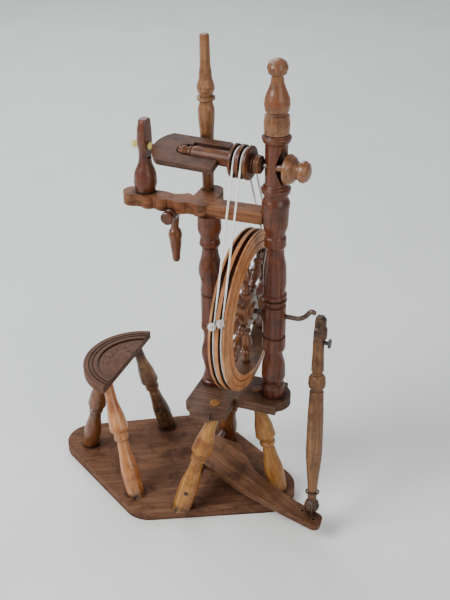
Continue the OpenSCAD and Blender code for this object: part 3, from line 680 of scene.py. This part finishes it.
@dataclass(frozen=True)
class ThreadFinish:
    """Cotton or wool thread with a soft sheen.

    Attributes:
        name: The material's name.
        pale: Colour of clean thread.
        soiled: Colour of handled thread.
        fuzz: Weight of the sheen.
    """

    name: str
    pale: Colour
    soiled: Colour
    fuzz: float = 0.4

    def build(self) -> bpy.types.Material:
        """Make the material.

        Returns:
            The finished material.
        """
        g = Graph(self.name)
        place = g.place()
        soil = g.fade(g.noise(place, SOILING, 4, 0.6), 0.46, 0.66)
        lint = g.noise(place, LINT, 4, 0.7)
        tone = g.mix(g.math(Wave.MUL, soil, 0.55), self.pale, self.soiled)
        tone = g.mix(g.fade(lint, 0.5, 0.72, 0.0, 0.3), tone, self.soiled)
        g.set(Base_Color=tone, Roughness=g.fade(lint, 0.3, 0.7, 0.78, 0.95))
        g.set(Sheen_Weight=self.fuzz, Sheen_Roughness=0.5, Specular_IOR_Level=0.25)
        g.bump(lint, 0.5, LINT_RELIEF)
        return g.material


@dataclass(frozen=True)
class PlainFinish:
    """A matt painted surface with faint unevenness, for the studio floor.

    Attributes:
        name: The material's name.
        tone: Its colour.
    """

    name: str
    tone: Colour

    def build(self) -> bpy.types.Material:
        """Make the material.

        Returns:
            The finished material.
        """
        g = Graph(self.name)
        cloud = g.noise(g.place(), 9.0, 3, 0.5)
        darker = tuple(0.97 * c for c in self.tone)
        g.set(Base_Color=g.mix(g.fade(cloud, 0.4, 0.6), self.tone, darker))
        g.set(Roughness=0.6, Specular_IOR_Level=0.3)
        return g.material


# Tones of the real woods ------------------------------------------------------------------


def stained(deep: str, main: str, pale: str, worn: str, flush: str) -> WoodTone:
    """Make a wood's tone from colours written as six hex digits.

    Args:
        deep: Late wood.
        main: Most of the surface.
        pale: Early wood.
        worn: Bare edges.
        flush: Redder patches.

    Returns:
        The tone, with the usual dark colour for dirt and painted shade.
    """
    return WoodTone(srgb(deep), srgb(main), srgb(pale), srgb(worn), srgb(flush))


RED_BROWN = stained("270f07", "512515", "683820", "8e6241", "572312")
BAR_BROWN = stained("371d0e", "6d442c", "875b3e", "a68664", "6f3d25")
KNOB_TAN = stained("42210d", "76492c", "8b603c", "a3825e", "713a1c")
POLE_TAN = stained("482711", "7f5534", "976a45", "ae8762", "744424")
HONEY = stained("5b3214", "94602b", "ad7d3f", "c39d6a", "854c20")
ORANGE = stained("663719", "af713f", "c98f5d", "d8b383", "a05b29")
RUSSET = stained("301407", "60351a", "784928", "966943", "5e2d14")
SOOTED = stained("2c1a12", "7a5438", "a07850", "b89468", "5e3824")
RIM_TAN = stained("6f4120", "b4764b", "ca9262", "d9b38e", "a25e2e")
SEAT_DRY = stained("361d14", "563626", "694837", "8a6750", "512f1e")
BOARD_DRY = stained("331c12", "61402e", "77543d", "927056", "553525")
BENCH_DARK = stained("23120c", "4c3326", "644735", "8f6e56", "432618")
FLYER_DARK = stained("20100a", "4a2d20", "5e3f2f", "836250", "422216")
TREAD_DARK = stained("2c180e", "5c3c28", "7a5438", "a88058", "4c2c1a")
FOOTMAN_TAN = stained("3d2211", "6b482b", "825d3c", "9b7853", "60381c")


# Sweeping thread ----------------------------------------------------------------------------


@dataclass
class ThreadMesh:
    """Collects tubes of thread into one mesh.

    Attributes:
        sides: Corners round each tube.
        points: The mesh's points so far.
        faces: The mesh's faces so far.
    """

    sides: int = 6
    points: list[Vector] = field(default_factory=list)
    faces: list[tuple[int, ...]] = field(default_factory=list)

    def tube(self, path: list[Vector], radii: list[float], closed: bool = False) -> None:
        """Sweep a round tube along a path.

        Args:
            path: Points along its middle.
            radii: Its radius at each point.
            closed: Whether the path runs back into its start.
        """
        count, start = len(path), len(self.points)
        side = Vector((0, 0, 0))
        for i, here in enumerate(path):
            before = path[i - 1] if i or closed else here
            after = path[(i + 1) % count] if i + 1 < count or closed else here
            ahead = (after - before).normalized()
            if side.length < 0.5:
                side = ahead.orthogonal().normalized()
            side = (side - ahead * side.dot(ahead)).normalized()
            other = ahead.cross(side)
            for k in range(self.sides):
                angle = 2 * math.pi * k / self.sides
                out = math.cos(angle) * side + math.sin(angle) * other
                self.points.append(here + radii[i] * out)
        last = count if closed else count - 1
        for i in range(last):
            a, b = start + i * self.sides, start + ((i + 1) % count) * self.sides
            for k in range(self.sides):
                n = (k + 1) % self.sides
                self.faces.append((a + k, a + n, b + n, b + k))
        if not closed:
            self.faces.append(tuple(start + k for k in reversed(range(self.sides))))
            end = start + (count - 1) * self.sides
            self.faces.append(tuple(end + k for k in range(self.sides)))

    def object(self, name: str, material: bpy.types.Material) -> bpy.types.Object:
        """Finish the mesh.

        Args:
            name: The new piece's name.
            material: What it is made of.

        Returns:
            The new piece.
        """
        mesh = bpy.data.meshes.new(name)
        mesh.from_pydata([tuple(p) for p in self.points], [], self.faces)
        mesh.materials.append(material)
        mesh.polygons.foreach_set("use_smooth", [True] * len(mesh.polygons))
        mesh.update()
        piece = bpy.data.objects.new(name, mesh)
        bpy.context.scene.collection.objects.link(piece)
        log.info("made %s in %s", name, material.name)
        return piece


# A loose fibre: how much it curls and trembles, how much it tapers, and its steps.
FIBRE_BEND, FIBRE_SHAKE, FIBRE_TAPER, FIBRE_STEPS = 0.34, 0.2, 0.75, 6


def frizz(mesh: ThreadMesh, root: Vector, aim: Vector, length: float, radius: float,
          dice: random.Random) -> None:
    """Add one curled fibre that tapers to its tip.

    Args:
        mesh: The mesh that takes it.
        root: Where it starts.
        aim: The direction that it starts in.
        length: Its length.
        radius: Its radius at the root.
        dice: The seeded source of chance.
    """
    path, here, ahead = [], root.copy(), aim.normalized()
    bend = Vector([dice.uniform(-1, 1) for _ in range(3)]) * FIBRE_BEND
    for _ in range(FIBRE_STEPS):
        path.append(here.copy())
        shake = Vector([dice.uniform(-FIBRE_SHAKE, FIBRE_SHAKE) for _ in range(3)])
        ahead = (ahead + bend + shake).normalized()
        here += ahead * length / FIBRE_STEPS
    taper = [1 - FIBRE_TAPER * i / (FIBRE_STEPS - 1) for i in range(FIBRE_STEPS)]
    mesh.tube(path, [radius * share for share in taper])


# Sub-assemblies -------------------------------------------------------------------------------

# Sideways run of the spindle's line in each metre.
SPINDLE_DRIFT = 0.09


def dress(material: bpy.types.Material, *names: str) -> None:
    """Give frame parts their finish.

    Args:
        material: The finish.
        *names: The parts that wear it.
    """
    for name in names:
        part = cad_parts[name]
        part.data.materials.clear()
        part.data.materials.append(material)
        log.info("dressed %s in %s", name, material.name)


def middle(name: str) -> Vector:
    """Give the middle of a frame part's box at rest."""
    low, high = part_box(name)
    return (low + high) / 2


@dataclass(frozen=True)
class Leg:
    """How one turned leg stands and how it is stained.

    Attributes:
        lean: How far its top stands from its foot, in millimetres.
        tone: Its wood.
        stains: Its dark ends, from its middle.
        varnish: Weight of its clear coat.
        gloss: Roughness of its waxed parts.
    """

    lean: Point
    tone: WoodTone
    stains: tuple[tuple[float, float], ...]
    varnish: float = 0.28
    gloss: float = 0.34

    def dress(self, name: str) -> None:
        """Dress a frame part as this leg.

        Args:
            name: The part's name.
        """
        dress(WoodFinish(name + "_wood", self.tone, tuple(middle(name)), self.lean,
                         gloss=self.gloss, varnish=self.varnish,
                         stains=self.stains).build(), name)


@dataclass
class BaseAndStand:
    """The board, the bench and the three legs between them.

    Attributes:
        foot: The dark foot of every leg, from its middle down.
        tenon: The dark end of a leg's tenon, from its middle up.
        right_tenon: The same for the right leg, which is fully dark sooner.
    """

    foot: tuple[float, float] = (-0.0262, -0.0292)
    tenon: tuple[float, float] = (0.031, 0.0352)
    right_tenon: tuple[float, float] = (0.031, 0.0325)

    def dress_all(self) -> None:
        """Dress the board, the bench and the legs."""
        dress(WoodFinish("board_wood", BOARD_DRY, centre=(0, 0, -0.03), axis=(0.83, 0.42, 0),
                         cut=Cut.SAWN, pith=(0.012, -0.002), ring=0.0042, gloss=0.66,
                         wear=0.35, varnish=0.0, shine=0.14).build(), "base_board")
        dress(WoodFinish("bench_wood", BENCH_DARK, centre=(0, 0, 0.02), axis=(1, 0.03, 0),
                         cut=Cut.SAWN, pith=(0.01, 0.004), ring=0.0034, gloss=0.55,
                         wear=0.4, varnish=0.04, shine=0.2).build(), "bench")
        ends = (self.foot, self.tenon)
        Leg((12.8, 18.3, 52.7), HONEY, ends).dress("stand_leg_front")
        Leg((-13.7, 5.7, 52.7), HONEY, (self.foot, self.right_tenon)).dress("stand_leg_right")
        Leg((9.5, -10.0, 52.7), RUSSET, ends).dress("stand_leg_back")


@dataclass
class Posts:
    """Both uprights, the finial, the crossbar and all that stands or hangs on it.

    Attributes:
        gap: Distance from the second post's axis, at the origin, to the main post's.
    """

    gap: float = 0.0327

    def dress_all(self) -> None:
        """Dress the turned uprights and what the crossbar carries."""
        dress(WoodFinish("main_post_wood", RED_BROWN, (self.gap, 0, 0)).build(), "main_post")
        dress(WoodFinish("second_post_wood", RED_BROWN, (0, 0, 0),
                         pith=(-0.005, 0.006)).build(), "second_post")
        dress(WoodFinish("finial_wood", KNOB_TAN, (self.gap, 0, 0),
                         pith=(0.004, -0.006), gloss=0.38, wear=0.1, figure=0.1,
                         varnish=0.4).build(), "main_post_finial")
        dress(WoodFinish("crossbar_wood", BAR_BROWN, centre=(0, 0, 0.15), axis=ACROSS,
                         cut=Cut.SAWN, pith=(0.004, 0.006), ring=0.0026, gloss=0.5, wear=0.3,
                         varnish=0.04, shine=0.14, figure=0.3).build(), "crossbar")
        dress(WoodFinish("cross_peg_wood", RED_BROWN, tuple(middle("cross_peg")),
                         (0, 1, 0)).build(), "cross_peg")
        dress(WoodFinish("pendant_wood", RUSSET, tuple(middle("pendant_drop")),
                         pith=(0.003, 0.002), figure=0.4).build(), "pendant_drop")
        dress(WoodFinish("distaff_wood", POLE_TAN, tuple(middle("distaff")),
                         pith=(-0.004, 0.003), gloss=0.36).build(), "distaff")
        dress(WoodFinish("maiden_wood", RED_BROWN, tuple(middle("maiden")),
                         pith=(0.003, -0.004)).build(), "maiden")


@dataclass
class FlyerGroup:
    """The flyer, its shaft, the bobbin and the tension knob on the spindle line.

    Attributes:
        tuft_reach: For each side of the maiden, how far its tuft of yarn stands out.
        root_share: Share of that reach at which the fibres start.
        fibres: Fibres in each tuft.
        fibre_length: Shortest and longest fibre.
        fibre_radius: Radius of a fibre at its root.
        tuft_radius: How far from the line the fibres start.
        splay: How much the outer fibres lean away from the line.
    """

    tuft_reach: tuple[float, float] = (-0.0046, 0.0044)
    root_share: float = 0.62
    fibres: int = 46
    fibre_length: tuple[float, float] = (0.0016, 0.0029)
    fibre_radius: float = 0.00011
    tuft_radius: float = 0.0009
    splay: float = 1.3

    def dress_all(self) -> None:
        """Dress what turns on the spindle line, and pack the bearing with yarn."""
        line = (1.0, -SPINDLE_DRIFT, 0.0)
        start = (0.0, 0.0, middle("flyer_shaft").z)
        dress(WoodFinish("flyer_wood", FLYER_DARK, centre=(0, 0.002, 0.17), axis=line,
                         cut=Cut.SAWN, pith=(0.003, 0.002), ring=0.0022, gloss=0.5, wear=0.3,
                         varnish=0.04, shine=0.2, figure=0.3).build(), "flyer")
        dress(WoodFinish("bobbin_wood", RUSSET, start, line, pith=(0.003, 0.003),
                         gloss=0.46, varnish=0.12).build(), "bobbin")
        dress(WoodFinish("knob_wood", KNOB_TAN, start, line, pith=(0.012, 0.01), gloss=0.3,
                         wear=0.1, figure=0.08, varnish=0.5).build(), "tension_knob")
        dress(WireFinish("shaft_wire", srgb("8a847c"), srgb("5a4030")).build(), "flyer_shaft")
        self._pack_yarn()

    def _pack_yarn(self) -> None:
        """Stuff the hole in the maiden with loops and tufts of yellow wool."""
        dice = random.Random(41)
        finish = ThreadFinish("yarn_wool", srgb("d8c06a"), srgb("a88a3c"), 0.3).build()
        dress(finish, "maiden_bearing")
        line = Vector((1.0, -SPINDLE_DRIFT, 0.0)).normalized()
        across = Vector((SPINDLE_DRIFT, 1.0, 0.0)).normalized()
        up = Vector(UP)
        heart = middle("maiden_bearing")
        wool = ThreadMesh(5)
        for reach in self.tuft_reach:
            out = line * (1 if reach > 0 else -1)
            root = heart + line * reach * self.root_share
            for _ in range(self.fibres):
                angle, spread = dice.uniform(0, 2 * math.pi), dice.uniform(0.1, 1.0)
                lean = spread * (math.cos(angle) * across + math.sin(angle) * up)
                frizz(wool, root + lean * self.tuft_radius, out + lean * self.splay,
                      dice.uniform(*self.fibre_length), self.fibre_radius, dice)
        tuft = wool.object("yarn_tufts", finish)
        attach(tuft, "stand")


# The bent axle's mesh: corners round it, steps in its straight run, a bend and its round tip, the
# flat left on the tip as a share of the radius, how far it starts inside the frame's axle, and the
# distance under which two points are one.
WIRE_SIDES, AXLE_STEPS, BEND_STEPS, CAP_STEPS, CAP_FLAT = 28, 40, 12, 8, 0.03
AXLE_SHY, SAME_PLACE = 0.0001, 0.00002

# Thickness and length of the loose fibres, on the cord and on its knots.
CORD_FUZZ, CORD_FUZZ_LENGTH = 0.00003, (0.0007, 0.0013)
KNOT_FUZZ, KNOT_FUZZ_LENGTH = 0.00009, (0.001, 0.0022)

# An overhand knot: its loop, how far the loop swells and rises, its points and its thickness.
KNOT_LOOP, KNOT_SWELL, KNOT_POINTS, KNOT_STRAND = 0.0008, 0.0004, 60, 0.0005

# The knot's two loose ends: thickness, spread, rise and steps.
END_STRAND, END_SPREAD, END_RISE, END_STEPS = 0.0004, 0.0009, 0.0016, 5


@dataclass
class DriveWheel:
    """The rim, spokes, hub, bent axle and the cord that drives the bobbin.

    Attributes:
        bore: Radius inside which the rim is painted dark with shade and dirt.
        plies: Strands that the cord is twisted from.
        cord_radius: Radius of the whole cord.
        strand_share: Radius of a strand as a share of the cord's.
        twist: Length of one turn of its strands.
        turn_points: Points along one turn.
        lint: Loose fibres on each loop and on each knot.
        lay: Radius at which the cord lies in the wheel's grooves.
        whorl_lay: Radius at which it lies in the bobbin's grooves.
        wheel_plane: Where each of its two loops runs on the wheel.
        whorl_plane: Where each runs on the bobbin, along the spindle line.
        knot_turn: Where each loop's knot sits round the wheel, in degrees from the top.
        knot_lay: Radius at which the knots' hearts lie, from the wheel's axis.
        crank_run: How far the crank's tip lies beyond its first bend.
        crank_slope: How far its slope runs along the axle.
        crank_dip: How far its tip dips below its second bend.
        bend_reach: How far each bend's curve starts before its corner.
        axle_height: Height of the axle above the floor, read from the frame.
        spindle_height: Height of the spindle's line, read from the frame.
    """

    bore: float = 0.0313
    plies: int = 3
    cord_radius: float = 0.0005
    strand_share: float = 0.54
    twist: float = 0.0022
    turn_points: int = 9
    lint: int = 420
    lay: float = 0.03855
    whorl_lay: float = 0.00635
    wheel_plane: tuple[float, float] = (0.0162, 0.0200)
    whorl_plane: tuple[float, float] = (0.0157, 0.0195)
    knot_turn: tuple[float, float] = (-72.0, -69.0)
    knot_lay: float = 0.0411
    crank_run: float = 0.0058
    crank_slope: float = 0.0046
    crank_dip: float = 0.0008
    bend_reach: tuple[float, float] = (0.0034, 0.0014)
    axle_height: float = field(init=False, default=0.0)
    spindle_height: float = field(init=False, default=0.0)

    def __post_init__(self) -> None:
        """Read both heights once, because the cord asks for them at every point."""
        self.axle_height = middle("wheel_rim").z
        self.spindle_height = middle("flyer_shaft").z

    def dress_all(self) -> None:
        """Dress the wheel's own parts and lay its cord."""
        hub = tuple(middle("wheel_hub"))
        dress(RingFinish("rim_wood", RIM_TAN, hub, ACROSS, self.bore).build(), "wheel_rim")
        dress(WoodFinish("spoke_wood", RUSSET, hub, (0, 0.4, 1), varnish=0.6).build(),
              "wheel_spokes")
        dress(WoodFinish("hub_wood", BAR_BROWN, hub, ACROSS).build(), "wheel_hub")
        self._bend_crank(WireFinish("axle_wire", srgb("6a5a50"), srgb("4e382c")).build())
        cotton = ThreadFinish("band_cotton", srgb("f4f1ea"), srgb("cfc6b6")).build()
        self._lay_cord(cotton)
        self._tie_knots(cotton)

    def _bend_crank(self, wire: bpy.types.Material) -> None:
        """Bend the axle wire again in easy curves, along the frame's own crank.

        Args:
            wire: The iron that it is made of.
        """
        low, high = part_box("crank_axle")
        radius = -low.y
        bend = high.x - radius - self.crank_run
        marks = [Vector((low.x + AXLE_SHY, 0, self.axle_height)),
                 Vector((bend, 0, self.axle_height)),
                 Vector((bend + self.crank_slope, 0, high.z - radius)),
                 Vector((high.x - radius, 0, high.z - radius - self.crank_dip))]
        path = [marks[0].lerp(marks[1], i / AXLE_STEPS) for i in range(AXLE_STEPS - 3)]
        for at, reach in enumerate(self.bend_reach, start=1):
            before = marks[at] + (marks[at - 1] - marks[at]).normalized() * reach
            after = marks[at] + (marks[at + 1] - marks[at]).normalized() * reach
            for i in range(BEND_STEPS + 1):
                t = i / BEND_STEPS
                path.append(before * (1 - t) ** 2 + marks[at] * 2 * t * (1 - t) + after * t * t)
        path = [p for p, n in zip(path, path[1:]) if (n - p).length > SAME_PLACE]
        tip = marks[-1]
        path += [tip]
        rod = ThreadMesh(WIRE_SIDES)
        rod.tube(path, [radius] * len(path))
        ahead = (tip - path[-2]).normalized()
        angles = [i / CAP_STEPS * math.pi / 2 for i in range(CAP_STEPS + 1)]
        rod.tube([tip + ahead * radius * math.sin(a) for a in angles],
                 [radius * max(CAP_FLAT, math.cos(a)) for a in angles])
        piece = rod.object("bent_axle", wire)
        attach(piece, "drive_wheel")
        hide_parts("crank_axle")

    def _on_wheel(self, loop: int, turn: float, radius: float) -> Vector:
        """Give a point over one of the wheel's grooves.

        Args:
            loop: Which of the two grooves.
            turn: Its angle off the top, in degrees.
            radius: Its distance from the wheel's axis.

        Returns:
            The point.
        """
        a = math.radians(turn)
        return Vector((self.wheel_plane[loop], radius * math.sin(a),
                       self.axle_height + radius * math.cos(a)))

    def _on_line(self, loop: int) -> Vector:
        """Give the point on the spindle's line that one of the bobbin's grooves runs round."""
        yaw, reach = math.atan(SPINDLE_DRIFT), self.whorl_plane[loop]
        return Vector((reach * math.cos(yaw), -reach * math.sin(yaw), self.spindle_height))

    def _on_whorl(self, loop: int, turn: float, radius: float) -> Vector:
        """Give a point over one of the bobbin's grooves.

        Args:
            loop: Which of the two grooves.
            turn: Its angle off the top, in degrees.
            radius: Its distance from the spindle's line.

        Returns:
            The point.
        """
        yaw, a = math.atan(SPINDLE_DRIFT), math.radians(turn)
        side = radius * math.sin(a)
        return self._on_line(loop) + Vector((side * math.sin(yaw), side * math.cos(yaw),
                                             radius * math.cos(a)))

    def _route(self, loop: int, step: float) -> list[Vector]:
        """Trace one closed loop of the cord over the bobbin and under the wheel.

        Args:
            loop: Which of the two grooves it runs in.
            step: Distance between its points.

        Returns:
            The points along its middle.
        """
        top, low = self._on_line(loop), self.axle_height
        apart = math.hypot(top.y, top.z - low)
        lean = math.degrees(math.atan2(top.y, top.z - low))
        wrap = math.degrees(math.asin((self.lay - self.whorl_lay) / apart))
        right, left = 90 - wrap + lean, -(90 - wrap) + lean
        arcs = []
        for start, end, radius, place in ((left, right, self.whorl_lay, self._on_whorl),
                                          (right, 360 + left, self.lay, self._on_wheel)):
            count = round(math.radians(end - start) * radius / step)
            arcs.append([place(loop, start + (end - start) * i / count, radius)
                         for i in range(count + 1)])
        over, under = arcs
        return (over + self._straight(over[-1], under[0], step)
                + under + self._straight(under[-1], over[0], step))

    def _straight(self, start: Vector, end: Vector, step: float) -> list[Vector]:
        """Give the points between two ends of a straight run, without the ends."""
        run = round((end - start).length / step)
        return [start.lerp(end, i / run) for i in range(1, run)]

    def _lay_cord(self, cotton: bpy.types.Material) -> None:
        """Twist both loops from their strands, with lint standing off them.

        Args:
            cotton: The cotton that they are spun from.
        """
        dice = random.Random(7)
        strand = self.cord_radius * self.strand_share
        cord = ThreadMesh(6)
        for loop in range(2):
            path = self._route(loop, self.twist / self.turn_points)
            turns = round(len(path) / self.turn_points)
            for ply in range(self.plies):
                cord.tube(self._spun(path, turns, ply, self.cord_radius - strand),
                          [strand] * len(path), True)
            for _ in range(self.lint):
                here = dice.randrange(len(path))
                away = Vector([dice.gauss(0, 1) for _ in range(3)])
                frizz(cord, path[here], away, dice.uniform(*CORD_FUZZ_LENGTH), CORD_FUZZ, dice)
        piece = cord.object("drive_cord", cotton)
        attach(piece, "stand")
        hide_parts("drive_band")

    def _spun(self, path: list[Vector], turns: int, ply: int, offset: float) -> list[Vector]:
        """Wind one strand round a closed path.

        Args:
            path: Points along the cord's middle.
            turns: Whole turns that it makes on the way round.
            ply: Which strand it is.
            offset: How far it lies from the middle.

        Returns:
            Points along the strand's middle.
        """
        wound, count = [], len(path)
        for i, here in enumerate(path):
            ahead = (path[(i + 1) % count] - path[i - 1]).normalized()
            side = Vector(ACROSS)
            side = (side - ahead * side.dot(ahead)).normalized()
            other = ahead.cross(side)
            a = 2 * math.pi * (turns * i / count + ply / self.plies)
            wound.append(here + offset * (math.cos(a) * side + math.sin(a) * other))
        return wound

    def _tie_knots(self, cotton: bpy.types.Material) -> None:
        """Tie each loop's ends into a small knot that has frayed into a tuft.

        Args:
            cotton: The cotton that they are spun from.
        """
        dice = random.Random(19)
        tuft = ThreadMesh(5)
        across = Vector(ACROSS)
        for loop, turn in enumerate(self.knot_turn):
            heart = self._on_wheel(loop, turn, self.knot_lay)
            out = (heart - self._on_wheel(loop, turn, 0.0)).normalized()
            along = across.cross(out)
            overhand = []
            for i in range(KNOT_POINTS):
                a = 2 * math.pi * i / KNOT_POINTS
                ring = KNOT_LOOP + KNOT_SWELL * math.cos(3 * a)
                flat = ring * math.cos(2 * a) * along + ring * math.sin(2 * a) * across
                overhand.append(heart + flat + KNOT_SWELL * math.sin(3 * a) * out)
            tuft.tube(overhand, [KNOT_STRAND] * KNOT_POINTS, True)
            steps = range(END_STEPS + 1)
            for sign in (-1, 1):
                end = [heart + (sign * along * END_SPREAD + out * END_RISE) * i / END_STEPS
                       for i in steps]
                tuft.tube(end, [END_STRAND * (1 - 0.1 * i) for i in steps])
            for _ in range(self.lint):
                away = Vector([dice.gauss(0, 1) for _ in range(3)]) + out * 0.5
                frizz(tuft, heart + away.normalized() * KNOT_LOOP, away,
                      dice.uniform(*KNOT_FUZZ_LENGTH), KNOT_FUZZ, dice)
        piece = tuft.object("frayed_knots", cotton)
        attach(piece, "stand")
        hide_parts("band_knot")


@dataclass
class TreadleGroup:
    """The treadle, its bar and pins, the footman and its wire.

    Attributes:
        slope: How far the treadle falls to its tip at rest, in degrees.
        slant: Sideways run of its grain for each metre along it.
        footman_lean: How far the footman's head stands from its foot, sideways, in millimetres.
        sooty_head: Where the footman's dark head starts and is full, down from its top.
        sooty_foot: Where its dark foot starts and is full, up from its end.
    """

    slope: float = 7.4
    slant: float = -0.4
    footman_lean: tuple[float, float] = (-6.0, 22.6)
    sooty_head: tuple[float, float] = (0.016, 0.004)
    sooty_foot: tuple[float, float] = (0.0095, 0.006)

    def dress_all(self) -> None:
        """Dress what the foot moves."""
        fall = math.radians(self.slope)
        down = (math.cos(fall), self.slant, -math.sin(fall))
        dress(WoodFinish("treadle_wood", TREAD_DARK, centre=(0, 0, 0), axis=down,
                         cut=Cut.SAWN, pith=(0.008, 0.003), ring=0.0034, gloss=0.5, wear=0.6,
                         varnish=0.04, shine=0.2, figure=0.3).build(), "treadle_board")
        dress(WoodFinish("treadle_bar_wood", BENCH_DARK, tuple(middle("treadle_bar")),
                         (0, 1, 0)).build(), "treadle_bar")
        low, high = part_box("footman")
        lean = (*self.footman_lean, (high.z - low.z) / MM)
        half = (high.z - low.z) / 2
        head = tuple(half - reach for reach in self.sooty_head)
        foot = tuple(reach - half for reach in self.sooty_foot)
        dress(WoodFinish("footman_wood", FOOTMAN_TAN, tuple(middle("footman")), lean,
                         pith=(0.003, 0.003), gloss=0.42, varnish=0.2,
                         stains=(head, foot)).build(), "footman")
        dress(WireFinish("pin_wire", srgb("4c4540"), srgb("2c1f1a")).build(),
              "treadle_pin_front", "treadle_pin_back")
        dress(WireFinish("tie_wire", srgb("5a4a40"), srgb("3c2418")).build(), "footman_tie")
        dress(WireFinish("nail_iron", srgb("5c5856"), srgb("3a2820")).build(), "footman_nail")


@dataclass
class Stool:
    """The half-round stool beside the wheel.

    Attributes:
        seat_radius: Distance from the centre of the seat's rings to its round edge.
        dried: Radius inside which the seat has dried and cracked.
        foot: The dark foot of the cleaner legs, from the leg's middle down.
        charred: The dark foot and top of the back leg.
        polish: Roughness of the legs' waxed parts.
    """

    seat_radius: float = 0.029
    dried: float = 0.021
    foot: tuple[tuple[float, float], ...] = ((-0.0275, -0.0305),)
    charred: tuple[tuple[float, float], ...] = ((0.0, -0.014), (0.018, 0.026))
    polish: float = 0.3

    def dress_all(self) -> None:
        """Dress the seat and its three legs."""
        low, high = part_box("stool_seat")
        centre = (low.x + self.seat_radius, (low.y + high.y) / 2, high.z)
        dress(RingFinish("seat_wood", SEAT_DRY, centre, UP, split=self.dried,
                         gloss=0.6).build(), "stool_seat")
        Leg((16.6, -6.9, 57.6), RUSSET, self.foot, varnish=0.45,
            gloss=self.polish).dress("stool_leg_left")
        Leg((-19.8, 14.9, 57.6), ORANGE, self.foot, varnish=0.7,
            gloss=self.polish).dress("stool_leg_front")
        Leg((-13.7, -6.6, 57.6), SOOTED, self.charred, varnish=0.3,
            gloss=self.polish).dress("stool_leg_back")


# Studio ------------------------------------------------------------------------------------------


@dataclass
class Studio:
    """Camera, lights and floor.

    Attributes:
        eye: Where the camera stands.
        lens: Focal length in millimetres.
        heading: Direction that it faces in, from +Y towards -X, in degrees.
        pitch: How far it looks down, in degrees.
        roll: Its tilt to the side, in degrees.
        sensor: Width of its sensor in millimetres.
        sight: How far it sees.
        aim: The point that every lamp faces.
        floor_half: Half the floor's side.
        floor_height: Height of the floor, a hair under the board.
        room_tint: Colour of the soft light all round.
        room_strength: Strength of that light.
    """

    eye: Point = (0.1485, -0.3569, 0.3415)
    lens: float = 54.54
    heading: float = 21.6
    pitch: float = 30.7
    roll: float = -1.04
    sensor: float = 36.0
    sight: float = 20.0
    aim: Point = (0.0, 0.0, 0.09)
    floor_half: float = 4.0
    floor_height: float = -0.0002
    room_tint: Colour = (0.94, 0.96, 1.0)
    room_strength: float = 0.5

    def camera(self) -> None:
        """Make the camera and choose it."""
        a, p, r = (math.radians(v) for v in (self.heading, self.pitch, self.roll))
        side = Vector((math.cos(a), math.sin(a), 0))
        level = Vector((-math.sin(a), math.cos(a), 0))
        up = Vector(UP)
        look = math.cos(p) * level - math.sin(p) * up
        down = -(math.sin(p) * level + math.cos(p) * up)
        right = math.cos(r) * side - math.sin(r) * down
        below = math.sin(r) * side + math.cos(r) * down
        turn = Matrix((right, -below, -look)).transposed().to_4x4()
        data = bpy.data.cameras.new("studio_camera")
        data.lens, data.sensor_width, data.clip_end = self.lens, self.sensor, self.sight
        eye = bpy.data.objects.new("studio_camera", data)
        eye.matrix_world = Matrix.Translation(self.eye) @ turn
        bpy.context.scene.collection.objects.link(eye)
        bpy.context.scene.camera = eye

    def lamp(self, name: str, place: Point, size: float, power: float, tint: Colour) -> None:
        """Hang a soft square lamp that faces the object.

        Args:
            name: Its name.
            place: Where it hangs.
            size: Length of its sides.
            power: Its power in watts.
            tint: Its colour.
        """
        data = bpy.data.lights.new(name, "AREA")
        data.shape, data.size, data.energy, data.color = "SQUARE", size, power, tint
        lamp = bpy.data.objects.new(name, data)
        lamp.location = place
        ahead = Vector(self.aim) - Vector(place)
        lamp.rotation_euler = ahead.to_track_quat("-Z", "Y").to_euler()
        bpy.context.scene.collection.objects.link(lamp)

    def build(self) -> None:
        """Set up the floor, the lamps and the world's soft light."""
        mesh = bpy.data.meshes.new("studio_floor")
        side, low = self.floor_half, self.floor_height
        mesh.from_pydata([(-side, -side, low), (side, -side, low), (side, side, low),
                          (-side, side, low)], [], [(0, 1, 2, 3)])
        mesh.materials.append(PlainFinish("studio_paint", srgb("e6e7e3")).build())
        floor = bpy.data.objects.new("studio_floor", mesh)
        bpy.context.scene.collection.objects.link(floor)
        world = bpy.data.worlds.new("studio_world")
        world.use_nodes = True
        air = world.node_tree.nodes["Background"]
        air.inputs["Color"].default_value = (*self.room_tint, 1)
        air.inputs["Strength"].default_value = self.room_strength
        bpy.context.scene.world = world
        self.lamp("window_light", (-0.6, -0.55, 0.8), 0.55, 13.0, (0.95, 0.98, 1.0))
        self.lamp("far_light", (-0.6, 0.75, 0.9), 0.8, 7.0, (0.9, 0.96, 1.0))
        self.lamp("room_light", (0.8, -0.5, 0.5), 0.6, 3.5, (1.0, 0.94, 0.86))
        self.camera()


def main() -> None:
    """Build and dress everything in order, and log each step."""
    logging.basicConfig(level=logging.INFO, format="%(name)s: %(message)s")
    Studio().build()
    for group in (BaseAndStand(), Posts(), FlyerGroup(), DriveWheel(), TreadleGroup(), Stool()):
        group.dress_all()
        log.info("finished %s", type(group).__name__)
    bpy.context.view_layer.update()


if __name__ == "__main__":
    main()
